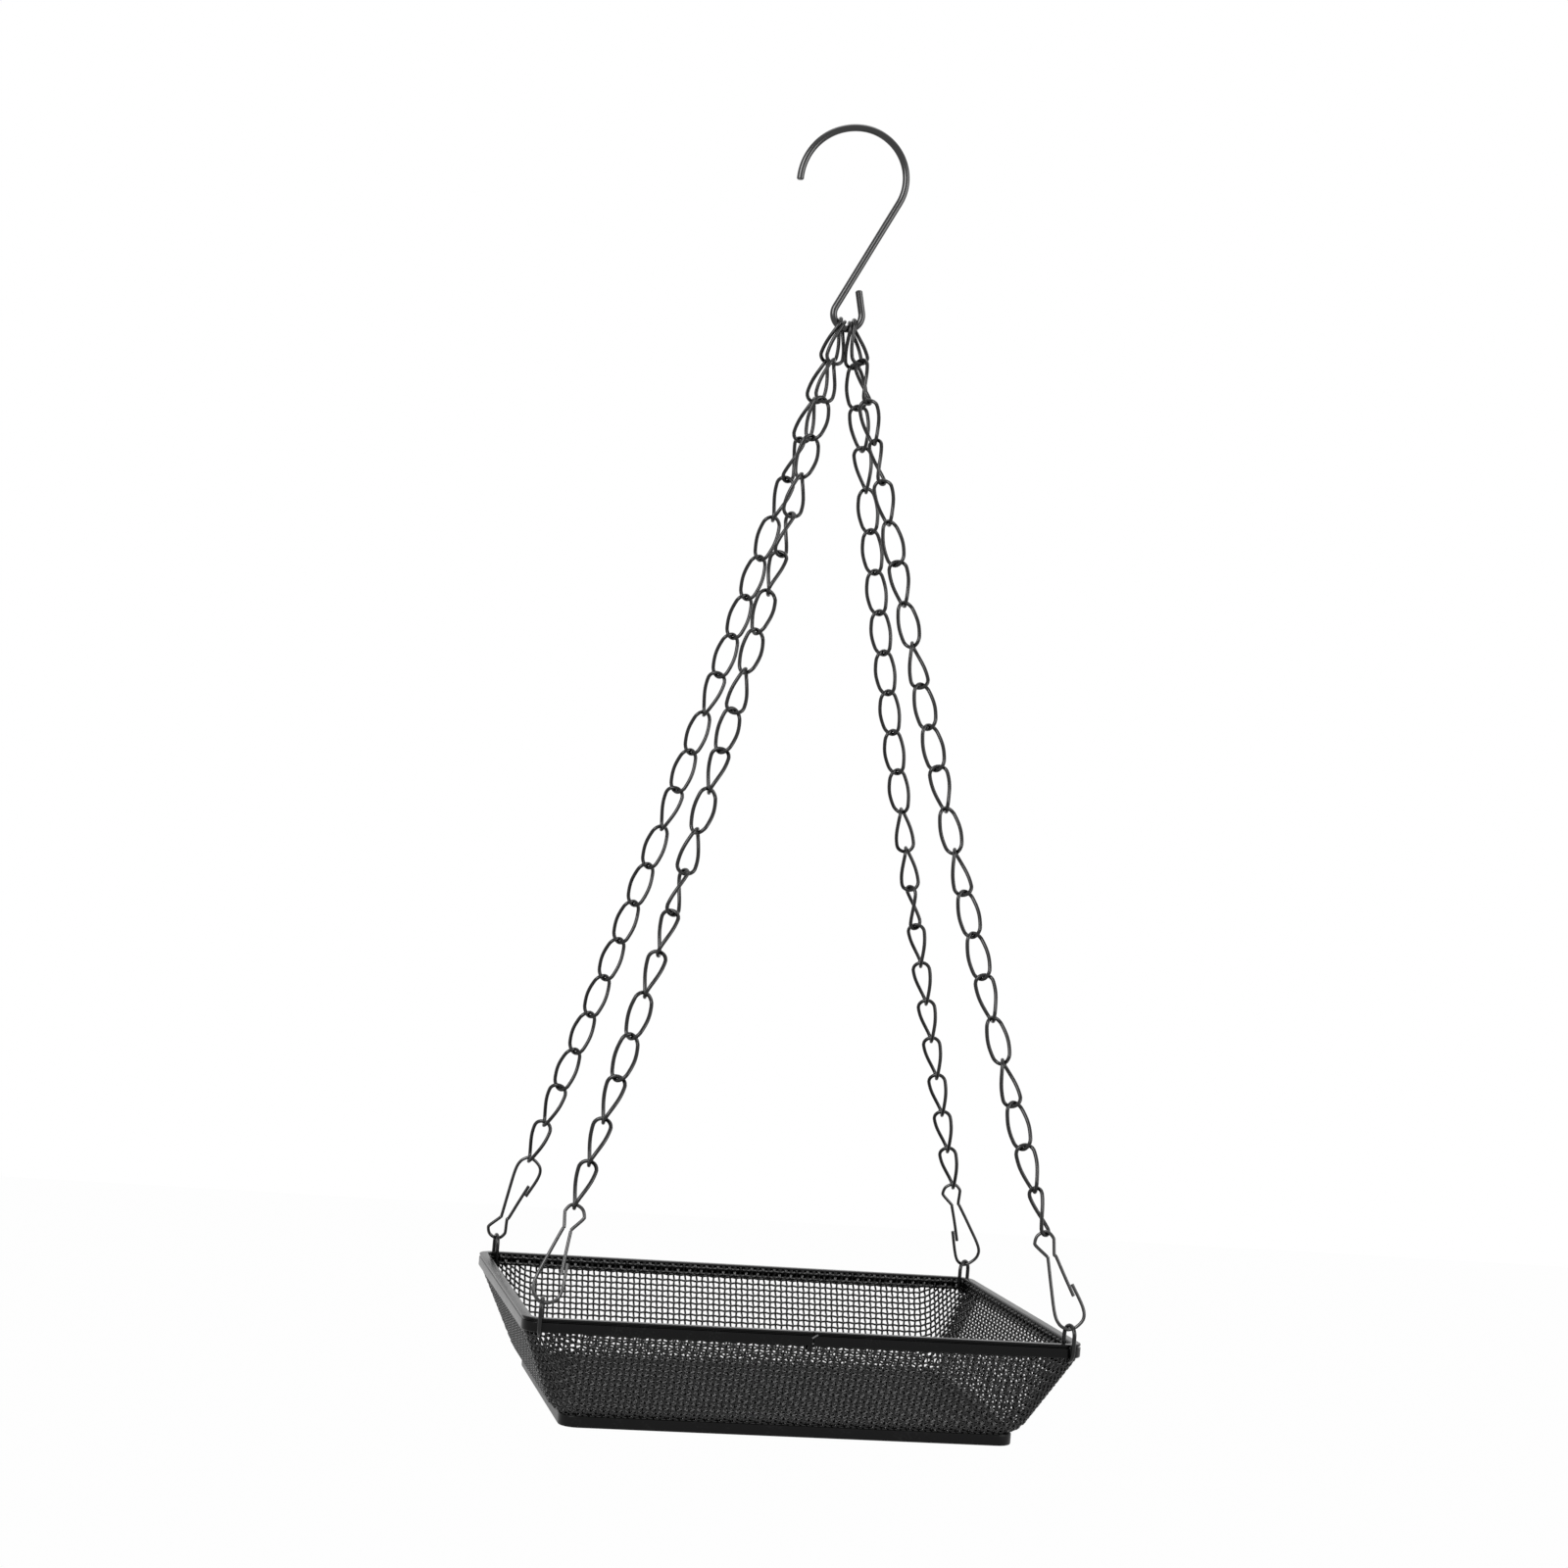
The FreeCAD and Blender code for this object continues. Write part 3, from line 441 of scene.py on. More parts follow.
@dataclass
class LinkChain:
    """A chain of twisted links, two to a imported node.

    Attributes:
        corner: The corner that it hangs from.
        finish: Its coat.
        wire: Wire thickness.
        inside: Inside length of a link.
        spread: Width of a bend between wire centres.
        bulge: How far each leg bows out at its middle.
        steps: Spans in a bend, and in a leg.
        sides: Flats round the wire.
        last: Where the lowest link sits, once the chain is built.
    """

    corner: Corner
    finish: BlackCoat
    wire: float = 2.0 * MM
    inside: float = 22 * MM
    spread: float = 9.4 * MM
    bulge: float = 0.4 * MM
    steps: int = 12
    sides: int = 9
    last: Pose | None = None

    def link_path(self) -> np.ndarray:
        """Centreline of a link about its middle: upper bend along X, lower bend along Y.

        The link is an oval that is wrung a quarter turn from its upper bend to its lower one.

        Returns:
            The points of the closed path.
        """
        reach = self.spread / 2
        apex = (self.inside + self.wire) / 2
        foot = apex - reach
        share = np.arange(self.steps) / self.steps
        turn = math.pi * share
        bend = np.stack([-reach * np.cos(turn), foot + reach * np.sin(turn)], axis=1)
        leg = np.stack([reach + self.bulge * np.sin(turn), foot * (1 - 2 * share)], axis=1)
        across, level = np.concatenate([bend, leg, -bend, -leg]).T
        wring = -math.pi / 2 * (apex - level) / (2 * apex)
        return np.stack([across * np.cos(wring), across * np.sin(wring), level], axis=1)

    def build(self) -> list[Any]:
        """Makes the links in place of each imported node.

        Returns:
            The pieces, from the hook down.
        """
        path = self.link_path()
        start = self.corner.value + "_links_"
        made = []
        for node in sorted(n for n in bpy.data.objects.keys() if n.startswith(start)):
            parts = MeshParts()
            for solid in separate_solids(node):
                pose = link_pose(solid)
                placed = pose.place(path)
                outward = placed - pose.middle
                add_wire(parts, placed, outward, self.wire / 2, self.sides, True)
                self.last = pose
            made.append(parts.piece(node + "_round", self.finish, node))
        return made


@dataclass
class RimRing:
    """An oval ring closed round the rim at a corner.

    Attributes:
        corner: The corner that it holds.
        finish: Its coat.
        wire: Wire thickness.
        steps: Spans in each end.
        sides: Flats round the wire.
        top: Inside top of the ring, once it is built.
    """

    corner: Corner
    finish: BlackCoat
    wire: float = 2.1 * MM
    steps: int = 16
    sides: int = 10
    top: np.ndarray | None = None

    def build(self) -> Any:
        """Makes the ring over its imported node.

        Returns:
            The piece.
        """
        node = self.corner.value + "_ring"
        solid = separate_solids(node)[0]
        middle = (solid.max(axis=0) + solid.min(axis=0)) / 2
        up = np.array((0.0, 0.0, 1.0))
        normal = main_directions(solid)[0]
        right = np.cross(normal, up)
        right /= np.linalg.norm(right)
        pose = Pose(middle, right, np.cross(up, right), up)
        spread = (solid - middle) @ right
        radius = (spread.max() - spread.min() - self.wire) / 2
        half = (solid[:, 2].max() - solid[:, 2].min() - self.wire) / 2 - radius
        turn = math.pi * np.arange(self.steps + 1) / self.steps
        arc = np.stack([radius * np.cos(turn), 0 * turn, half + radius * np.sin(turn)], axis=1)
        placed = pose.place(np.concatenate([arc, -arc]))
        parts = MeshParts()
        add_wire(parts, placed, placed - middle, self.wire / 2, self.sides, True)
        self.top = middle + up * (half + radius - self.wire / 2)
        return parts.piece(node + "_round", self.finish, node)


@dataclass(frozen=True)
class ClipForm:
    """How one clip differs from the others.

    Attributes:
        latch_bulge: How far the latched leg stands out.
        plain_bulge: How far the plain leg stands out.
        loop_shift: How far the small loop stands off to the right.
        latch_side: 1 where the latch is on the right, and -1 on the left.
        big_up: Whether the pear is uppermost.
    """

    latch_bulge: float
    plain_bulge: float
    loop_shift: float
    latch_side: int = 1
    big_up: bool = False


CLIP_FORMS = {
    Corner.BACK_LEFT: ClipForm(8.4 * MM, 4.8 * MM, -1.4 * MM, big_up=True),
    Corner.FRONT_LEFT: ClipForm(7.2 * MM, 6.6 * MM, 1.2 * MM),
    Corner.BACK_RIGHT: ClipForm(4.4 * MM, 9.0 * MM, -1.2 * MM, latch_side=-1),
    Corner.FRONT_RIGHT: ClipForm(8.6 * MM, 5.6 * MM, -1.6 * MM),
}


@dataclass
class SprungClip:
    """A clip bent from one wire: a small loop, a neck and a long pear that closes with a latch.

    Attributes:
        corner: The corner that it serves.
        finish: Its coat.
        form: Its own bulges and sides.
        wire: Wire thickness.
        inside: Inside length.
        eye: Half the width of the small loop between wire centres.
        neck: Half the width of the neck between wire centres.
        eye_length: Length of the small loop to the neck.
        kink: Height of the bend at the neck.
        lap: Lap of the latch.
        steps: Spans between two corners of its line.
        sides: Flats round the wire.
    """

    corner: Corner
    finish: BlackCoat
    form: ClipForm
    wire: float = 1.75 * MM
    inside: float = 47.6 * MM
    eye: float = 4.9 * MM
    neck: float = 1.9 * MM
    eye_length: float = 12.6 * MM
    kink: float = 0.9 * MM
    lap: float = 6.0 * MM
    steps: int = 6
    sides: int = 10

    def line(self) -> np.ndarray:
        """Centreline in the clip's own plane, small loop up, from one latched end to the other.

        Returns:
            The points of the curve.
        """
        form, eye, neck, kink = self.form, self.eye, self.neck, self.kink
        half = (self.inside + self.wire) / 2
        throat = half - self.eye_length
        shoulder = -half + self.inside * 0.2
        belly = -half + self.inside * 0.08
        lap_foot = shoulder + self.inside * 0.12
        lap_head = lap_foot + self.lap
        rise = throat - shoulder
        inner = neck + (form.latch_bulge - self.wire * 1.15 - neck) * (throat - lap_foot) / rise
        outer = neck + (form.latch_bulge - neck) * (throat - lap_head) / rise + self.wire * 0.35
        away = form.loop_shift * form.latch_side
        loop_bends = ((0.93, 1.2, 1), (0.97, 0.8, 1), (0.62, 0.22, 0.8))
        right, left = (
            [(side * eye * u + away * k, half - eye * v) for u, v, k in loop_bends]
            for side in (1, -1)
        )
        low_bend = -half + self.wire * 0.45
        corners = [
            (inner, lap_foot),
            ((inner + neck) / 2, (lap_foot + throat) / 2),
            (neck + kink * 0.3, throat - kink),
            (neck + away * 0.25, throat + kink * 0.6),
            *right,
            (away * 0.3, half),
            *left[::-1],
            (-neck + away * 0.25, throat + kink * 0.6),
            (-neck - kink * 0.2, throat - kink),
            (-(form.plain_bulge + neck) * 0.52, (throat + shoulder) / 2),
            (-form.plain_bulge, shoulder),
            (-form.plain_bulge * 0.86, belly),
            (-form.plain_bulge * 0.4, low_bend),
            (0, -half),
            (form.latch_bulge * 0.45, low_bend),
            (form.latch_bulge * 0.9, belly),
            (form.latch_bulge, shoulder),
            (outer, lap_head),
        ]
        flat = np.array([(u, 0, v) for u, v in corners])
        flat[:, 0] *= form.latch_side
        flat[:, 2] *= -1 if form.big_up else 1
        return smooth_path(flat, self.steps)

    def build(self, last: Pose, ring_top: np.ndarray) -> Any:
        """Makes the clip between the last link and the ring.

        Args:
            last: Where the last link of the chain sits.
            ring_top: Inside top of the ring.

        Returns:
            The piece.
        """
        node = self.corner.value + "_clip"
        solid = separate_solids(node)[0]
        link_half = 11 * MM
        link_low = last.middle - last.up * link_half
        up = link_low - ring_top
        up /= np.linalg.norm(up)
        normal = main_directions(solid)[0]
        normal = normal - up * (normal @ up)
        normal /= np.linalg.norm(normal)
        right = np.cross(normal, up)
        right = right if right[0] > 0 else -right
        pose = Pose((link_low + ring_top) / 2, right, np.cross(up, right), up)
        placed = pose.place(self.line())
        parts = MeshParts()
        side = np.repeat(pose.depth[None, :], len(placed), axis=0)
        add_wire(parts, placed, side, self.wire / 2, self.sides, False)
        return parts.piece(node + "_round", self.finish, node)


# The tray


@dataclass
class WireCloth:
    """The pan: woven wire cloth that is drawn to shape.

    Each wire keeps its length, so in the corners, where the wall is shorter than the flat cloth,
    the square holes shear to narrow diamonds and the rows climb. The crossings are placed one
    after the other, each at one pitch from two earlier ones and on the pan's skin.

    Attributes:
        half_x: Half the rim's outside length.
        half_y: Half the rim's outside width.
        top: Level of the rim's top.
        rim_height: Height of the rim.
        floor: Level of the middle of the cloth in the floor.
        finish: Its coat.
        pitch: Distance between wires.
        wire: Wire thickness.
        flange: Middle of the cloth in the rim, in from the rim's outside.
        inset: Run of a wall inwards.
        rim_corner: Corner radius at the rim's outside.
        foot_corner: Corner radius at the floor line, counted from the rim's outside.
        knuckle: Radius between wall and floor.
        rim_cover: How far the wires end below the rim's top.
        kink: Half length of the straight over a crossing, as a share of the pitch.
        sides: Flats round the wire.
    """

    half_x: float
    half_y: float
    top: float
    rim_height: float
    floor: float
    finish: BlackCoat
    pitch: float = 3.2 * MM
    wire: float = 1.2 * MM
    flange: float = 2.5 * MM
    inset: float = 20.1 * MM
    rim_corner: float = 10 * MM
    foot_corner: float = 36.1 * MM
    knuckle: float = 10.5 * MM
    rim_cover: float = 1.6 * MM
    kink: float = 0.2
    sides: int = 5

    def __post_init__(self) -> None:
        """Works out the wall's lean and the middle of the knuckle."""
        self.rim_foot = self.top - self.rim_height
        self.depth = self.top - self.floor + SOLID_CLOTH / 2
        self.lean = math.atan2(self.inset, self.depth - self.rim_height)
        self.sine, self.cosine = math.sin(self.lean), math.cos(self.lean)
        self.knuckle_level = self.floor + self.knuckle
        run = math.tan(self.lean) * (self.rim_foot - self.knuckle_level)
        self.knuckle_in = -self.flange - run - self.knuckle / self.cosine

    def outside(self, points: np.ndarray) -> np.ndarray:
        """How far points of the back right quarter lie outside the cloth's middle surface.

        Args:
            points: The points, a row each.

        Returns:
            A distance for each, below zero inside the pan.
        """
        x, y, z = points.T
        drop = self.rim_foot - z
        share = np.clip(drop / (self.depth - self.rim_height), 0, 1)
        radius = self.rim_corner + (self.foot_corner - self.rim_corner) * share
        dx, dy = x - (self.half_x - radius), y - (self.half_y - radius)
        rounded = (dx > 0) & (dy > 0)
        straight = np.maximum(x - self.half_x, y - self.half_y)
        out = np.where(rounded, np.hypot(dx, dy) - radius, straight)
        wall = (out + self.flange + math.tan(self.lean) * drop) * self.cosine
        vn, vz = out - self.knuckle_in, z - self.knuckle_level
        in_bend = (vn > 0) & (self.cosine * vz + self.sine * vn < 0)
        bend = np.hypot(vn, vz) - self.knuckle
        skin = np.where(in_bend, bend, np.maximum(self.floor - z, wall))
        return np.maximum(skin, out + self.flange)

    def normals(self, points: np.ndarray) -> np.ndarray:
        """Outward normals of the middle surface at points."""
        step = 0.02 * MM
        columns = []
        for axis in range(3):
            shift = np.zeros(3)
            shift[axis] = step
            columns.append(self.outside(points + shift) - self.outside(points - shift))
        return unit_rows(np.stack(columns, axis=1))

    def middle_run(self, half: float, count: int) -> np.ndarray:
        """Distance out and level of the crossings along a middle line.

        Args:
            half: Half the rim's outside size along that line.
            count: How many crossings.

        Returns:
            A row of distance and level for each crossing.
        """
        run = (np.arange(count) + 0.5) * self.pitch
        flat = half + self.knuckle_in
        bend = flat + self.knuckle * (math.pi / 2 - self.lean)
        drop = self.rim_foot - self.knuckle_level + self.knuckle * self.sine
        left = bend + drop / self.cosine - run
        angle = (run - flat) / self.knuckle
        stages = [run < flat, run < bend, left > 0]
        edge = half - self.flange
        outs = [run, flat + self.knuckle * np.sin(angle), edge - left * self.sine]
        rise = self.knuckle * (1 - np.cos(angle))
        levels = [0 * run + self.floor, self.floor + rise, self.rim_foot - left * self.cosine]
        out = np.select(stages, outs, edge)
        return np.stack([out, np.select(stages, levels, self.rim_foot - left)], axis=1)

    def crossings(self) -> np.ndarray:
        """Places of all crossings in the back right quarter.

        Returns:
            The places, by wire along X and wire along Y.
        """
        slant = self.depth / self.cosine
        count_x = int((self.half_x + slant) / self.pitch)
        count_y = int((self.half_y + slant) / self.pitch)
        grid = np.zeros((count_x, count_y, 3))
        along_x = self.middle_run(self.half_x, count_x)
        along_y = self.middle_run(self.half_y, count_y)
        grid[:, 0] = np.insert(along_x, 1, self.pitch / 2, axis=1)
        grid[0, :] = np.insert(along_y, 0, self.pitch / 2, axis=1)
        for diagonal in range(2, count_x + count_y - 1):
            i = np.arange(max(1, diagonal - count_y + 1), min(count_x - 1, diagonal - 1) + 1)
            j = diagonal - i
            grid[i, j] = self.meet(grid[i - 1, j], grid[i, j - 1], grid[i - 1, j - 1])
        return grid

    def meet(self, first: np.ndarray, second: np.ndarray, before: np.ndarray) -> np.ndarray:
        """Points on the skin at one pitch from two others, away from a third.

        Args:
            first: Crossings one step back along X.
            second: Crossings one step back along Y.
            before: Crossings one step back along both.

        Returns:
            The points.
        """
        rounds, damping, least_lift, longest_step = 12, 1e-6, 0.2 * self.pitch, 0.5 * self.pitch
        apart = second - first
        gap = np.linalg.norm(apart, axis=1, keepdims=True)
        across = apart / np.maximum(gap, TINY)
        middle = (first + second) / 2
        lift = np.sqrt(np.maximum(self.pitch**2 - (gap / 2) ** 2, least_lift**2))
        points = middle + unit_rows(middle - before) * lift
        for _ in range(rounds):
            away = points - middle
            too_far = (np.sum(away * away, axis=1) - lift[:, 0] ** 2) / self.pitch
            aside = np.sum(away * across, axis=1)
            wanted = np.stack([too_far, aside, self.outside(points)], axis=1)
            rows = np.stack([2 * away / self.pitch, across, self.normals(points)], axis=1)
            square = rows @ rows.transpose(0, 2, 1) + damping * np.eye(3)
            change = rows.transpose(0, 2, 1) @ np.linalg.solve(square, wanted[:, :, None])
            change = change[:, :, 0]
            length = np.linalg.norm(change, axis=1, keepdims=True)
            points = points - change * np.minimum(1, longest_step / np.maximum(length, TINY))
        return points

    def wires(self, grid: np.ndarray, skin: np.ndarray, flip: bool) -> MeshParts:
        """Gathers one family of wires, each from one side of the tray to the other.

        Args:
            grid: Crossings of a quarter, with the wires to be made along its first index.
            skin: Outward normals at the crossings.
            flip: Whether the wires run along Y.

        Returns:
            The wires' parts.
        """
        parts = MeshParts()
        run_axis, row_axis = (1, 0) if flip else (0, 1)
        for row in range(grid.shape[1]):
            below = grid[:, row, 2] < self.top - self.rim_cover
            reach = len(below) if below.all() else int(np.argmin(below))
            if reach < 2:
                continue
            order = [*range(reach - 1, -1, -1), *range(reach)]
            signs = np.repeat([-1.0, 1.0], reach)
            for row_sign in (-1, 1):
                points, out = grid[order, row], skin[order, row]
                for rows in (points, out):
                    rows[:, run_axis] *= signs
                    rows[:, row_axis] *= row_sign
                beat = np.arange(-reach, reach) + (row if row_sign > 0 else -1 - row)
                height = np.where(beat % 2 == 0, 1.0, -1.0) * (-1 if flip else 1)
                along = unit_rows(np.gradient(points, axis=0)) * (self.kink * self.pitch)
                raised = points + out * (height * self.wire / 2)[:, None]
                path = np.stack([raised - along, raised + along], axis=1).reshape(-1, 3)
                side = np.repeat(out, 2, axis=0)
                add_wire(parts, path, side, self.wire / 2, self.sides, False)
        return parts

    def build(self) -> list[Any]:
        """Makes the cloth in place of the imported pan.

        Returns:
            The long wires and the cross wires.
        """
        grid = self.crossings()
        skin = self.normals(grid.reshape(-1, 3)).reshape(grid.shape)
        long_wires = self.wires(grid, skin, False)
        cross_wires = self.wires(grid.transpose(1, 0, 2), skin.transpose(1, 0, 2), True)
        return [
            long_wires.piece("cloth_long_wires", self.finish, "mesh_pan"),
            cross_wires.piece("cloth_cross_wires", self.finish),
        ]


@dataclass
class FoldedStrip:
    """A strip of sheet folded to a hollow section and bent round the tray.

    Attributes:
        name: Name of the piece.
        node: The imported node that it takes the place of, or "" where it lines another piece.
        finish: Its coat.
        half_x: Half its outside length.
        half_y: Half its outside width.
        corner: Outside corner radius.
        section: Outline of the section: distance in from the outside face, and level.
        seam: Place of the ends along the front.
        seam_gap: Gap between the ends.
        step: Length of a span.
        bend_spans: The least spans in a corner.
        dent: How far the face moves inwards, by the place round the strip and in the section.
    """

    name: str
    node: str
    finish: BlackCoat
    half_x: float
    half_y: float
    corner: float
    section: Outline
    seam: float = 0.0
    seam_gap: float = 0.0
    step: float = 4 * MM
    bend_spans: int = 8
    dent: Relief | None = None

    def round_walk(self) -> tuple[np.ndarray, np.ndarray, np.ndarray]:
        """Walks once round the outline from the seam, against the clock seen from above.

        Returns:
            Points on the outside face, inward directions there, and the distance walked.
        """
        in_x, in_y, radius = self.half_x - self.corner, self.half_y - self.corner, self.corner
        points: Outline = []
        inward: Outline = []

        def straight(start: tuple[float, float], end: tuple[float, float]) -> None:
            """Spans of a straight, without its last point."""
            length = math.dist(start, end)
            count = max(1, round(length / self.step))
            way = ((end[0] - start[0]) / length, (end[1] - start[1]) / length)
            for number in range(count):
                share = number / count * length
                points.append((start[0] + way[0] * share, start[1] + way[1] * share))
                inward.append((-way[1], way[0]))

        def bend(centre: tuple[float, float], begin: float) -> None:
            """A quarter turn about a centre, without its last point."""
            count = max(self.bend_spans, round(radius * math.pi / 2 / self.step))
            for number in range(count):
                turn = begin + math.pi / 2 * number / count
                cosine, sine = math.cos(turn), math.sin(turn)
                points.append((centre[0] + radius * cosine, centre[1] + radius * sine))
                inward.append((-cosine, -sine))

        start = (self.seam + self.seam_gap / 2, -self.half_y)
        end = (self.seam - self.seam_gap / 2, -self.half_y)
        straight(start, (in_x, -self.half_y))
        bend((in_x, -in_y), -math.pi / 2)
        straight((self.half_x, -in_y), (self.half_x, in_y))
        bend((in_x, in_y), 0)
        straight((in_x, self.half_y), (-in_x, self.half_y))
        bend((-in_x, in_y), math.pi / 2)
        straight((-self.half_x, in_y), (-self.half_x, -in_y))
        bend((-in_x, -in_y), math.pi)
        straight((-in_x, -self.half_y), end)
        points.append(end)
        inward.append((0.0, 1.0))
        route = np.array(points)
        walked = np.concatenate([[0], np.cumsum(np.linalg.norm(np.diff(route, axis=0), axis=1))])
        return route, np.array(inward), walked

    def build(self) -> Any:
        """Makes the strip.

        Returns:
            The piece.
        """
        route, inward, walked = self.round_walk()
        section = np.array(self.section)
        count, around = len(route), len(section)
        depth = np.repeat(section[None, :, 0], count, axis=0)
        if self.dent is not None:
            depth = depth + self.dent(walked[:, None], section[None, :, :])
        flat = route[:, None, :] + inward[:, None, :] * depth[:, :, None]
        level = np.repeat(section[None, :, 1], count, axis=0)
        points = np.concatenate([flat, level[:, :, None]], axis=2).reshape(-1, 3)
        starts = np.arange(count - 1) * around
        quads = []
        for here in range(around):
            after = (here + 1) % around
            corners = (here, around + here, around + after, after)
            quads.append(np.stack([starts + corner for corner in corners], axis=1))
        parts = MeshParts()
        parts.add(points, np.concatenate(quads))
        return parts.piece(self.name, self.finish, self.node)


def rounded_section(corners: list[tuple[float, float, float]], steps: int) -> Outline:
    """An outline with its corners rounded.

    Args:
        corners: Distance in, level and radius of each corner, in order.
        steps: Spans in each rounded corner.

    Returns:
        The outline's points.
    """
    made = []
    count = len(corners)
    for number, (x, z, radius) in enumerate(corners):
        here = np.array((x, z))
        before, after = (np.array(corners[(number + k) % count][:2]) for k in (-1, 1))
        if radius <= 0:
            made.append((x, z))
            continue
        back = (before - here) / np.linalg.norm(before - here)
        ahead = (after - here) / np.linalg.norm(after - here)
        half_turn = math.acos(float(np.clip(back @ ahead, -1, 1))) / 2
        run = radius / math.tan(half_turn)
        start, end = here + back * run, here + ahead * run
        for step in range(steps + 1):
            share = step / steps
            point = start * (1 - share) ** 2 + here * 2 * share * (1 - share) + end * share**2
            made.append((float(point[0]), float(point[1])))
    return made


@dataclass(frozen=True)
class Channel:
    """A strip folded to a channel that is open below, in section.

    Attributes:
        top: Level of its top.
        height: Its height.
        lip: How far each lower lip is turned in.
    """

    top: float
    height: float
    lip: float

    def plain(self) -> Outline:
        """The section of the base band.

        Returns:
            The outline of the sheet, as distance in and level.
        """
        bend, steps = 1.1 * MM, 4
        low, inner = self.top - self.height, bend - SHEET
        far, over, under = ACROSS - SHEET, low + SHEET, self.top - SHEET
        corners = [
            (0, self.top, bend),
            (ACROSS, self.top, bend),
            (ACROSS, low, bend * 0.8),
            (ACROSS - self.lip, low, 0),
            (ACROSS - self.lip, over, 0),
            (far, over, inner),
            (far, under, inner),
            (SHEET, under, inner),
            (SHEET, over, inner),
            (self.lip, over, 0),
            (self.lip, low, 0),
            (0, low, bend * 0.8),
        ]
        return rounded_section(corners, steps)

    def creased(self) -> Outline:
        """The section of the rim, with a crease under its outer top fold.

        Returns:
            The outline of the sheet, as distance in and level.
        """
        bend, steps, ease = 0.7 * MM, 3, 0.2 * MM
        foot, head, depth = self.top - 2.0 * MM, self.top - 1.0 * MM, 0.9 * MM
        low, far, behind = self.top - self.height, ACROSS - SHEET, depth + SHEET
        over, under = low + SHEET, foot - SHEET
        corners = [
            (0, foot, 0.25 * MM),
            (depth, foot + ease, 0),
            (depth, head - ease, 0),
            (0.1 * MM, head, ease),
            (0.15 * MM, self.top, 0.5 * MM),
            (ACROSS, self.top, 0.8 * MM),
            (ACROSS, low, bend),
            (ACROSS - self.lip, low, 0),
            (ACROSS - self.lip, over, 0),
            (far, over, 0),
            (far, head, 0),
            (behind, head, 0),
            (behind, under, 0),
            (SHEET, under, 0),
            (SHEET, over, 0),
            (self.lip, over, 0),
            (self.lip, low, 0),
            (0, low, bend),
        ]
        return rounded_section(corners, steps)


def lining_section(top: float, low: float) -> Outline:
    """Section of the cloth that lines the rim's inner face, with levels close enough for relief.

    Args:
        top: Its top level.
        low: Its low level.

    Returns:
        The outline, as distance in from the rim's inner face and level.
    """
    levels, behind = 15, -0.3 * MM
    front = [(0.0, float(level)) for level in np.linspace(top, low, levels)]
    return [*front, (behind, low), (behind, top)]


def weave_relief(pitch: float, top: float, wire: float) -> Relief:
    """Relief of woven wires on a face.

    Args:
        pitch: Distance between wires.
        top: Level that the rows are counted from.
        wire: Wire thickness.

    Returns:
        A function of the place round the strip and in its section.
    """

    def heights(walked: np.ndarray, section: np.ndarray) -> np.ndarray:
        """How far the face moves inwards."""
        down, along = (top - section[..., 1]) / pitch - 0.5, walked / pitch
        row, column = np.round(down), np.round(along)
        to_row = (down - row) * pitch * 2 / wire
        to_column = (along - column) * pitch * 2 / wire
        upright = np.sqrt(np.maximum(0, 1 - to_column**2))
        upright = upright + np.cos(math.pi * (down + column)) * (to_column**2 < 1)
        level = np.sqrt(np.maximum(0, 1 - to_row**2))
        level = level - np.cos(math.pi * (along + row)) * (to_row**2 < 1)
        relief = np.maximum(0, np.maximum(upright, level)) * wire / 2
        return np.where(section[..., 0] < 0, 0, relief)

    return heights


@dataclass
class SeamLock:
    """The joint of the rim's two ends: a tongue bent down under the strip, and raised edges whose
    light grey is a painted highlight.

    Attributes:
        half_y: Half the rim's outside width.
        top: Level of the rim's top.
        height: Height of the rim.
        finish: Coat of the tongue.
        edge: Light grey coat of the raised edges, a painted highlight.
    """

    half_y: float
    top: float
    height: float
    finish: BlackCoat
    edge: BlackCoat

    def bar(self, parts: MeshParts, line: Outline, inward: float, radius: float) -> None:
        """Adds a short round bar on the front face.

        Args:
            parts: Where it is gathered.
            line: Its places in millimetres: right of the seam, and below the rim's top.
            inward: How far its middle lies behind the face.
            radius: Half its thickness.
        """
        y, steps, sides = inward - self.half_y, 4, 10
        places = [(SEAM + right * MM, y, self.top - down * MM) for right, down in line]
        path = smooth_path(np.array(places), steps)
        side = np.repeat(np.array([(0.0, 1.0, 0.0)]), len(path), axis=0)
        add_wire(parts, path, side, radius, sides, False)

    def build(self) -> list[Any]:
        """Makes the tongue and the raised edges of the lapped end.

        Returns:
            The pieces.
        """
        tongue, edges = MeshParts(), MeshParts()
        inward, radius, edge_radius = 0.9 * MM, 1.4 * MM, 0.45 * MM
        low = self.height / MM
        bent = [(-1.2, low - 0.8), (-1.6, low + 0.4), (-2.1, low + 1.5), (-2.4, low + 2.3)]
        self.bar(tongue, bent, inward, radius)
        # These raised edges take the light grey coat, a painted highlight.
        for line in ([(1.9, 1.3), (0.6, 2.0), (-0.8, 3.0)], [(-0.1, 5.2), (-0.4, 5.9)]):
            self.bar(edges, line, 0, edge_radius)
        return [
            tongue.piece("rim_seam_tongue", self.finish),
            edges.piece("rim_seam_edges", self.edge),
        ]


# Studio


@dataclass(frozen=True)
class Lamp:
    """A square soft lamp that points at the middle of the feeder.

    Attributes:
        name: Its name.
        place: Where it is.
        power: Its power in watts.
        size: Its side.
    """

    name: str
    place: tuple[float, float, float]
    power: float
    size: float = 1.2

    def build(self) -> None:
        """Makes the lamp."""
        data = bpy.data.lights.new(self.name, "AREA")
        data.shape = "SQUARE"
        data.size = self.size
        data.energy = self.power
        lamp = bpy.data.objects.new(self.name, data)
        lamp.location = self.place
        way = Vector((0, 0, -0.5)) - Vector(self.place)
        lamp.rotation_euler = way.to_track_quat("-Z", "Y").to_euler()
        bpy.context.scene.collection.objects.link(lamp)


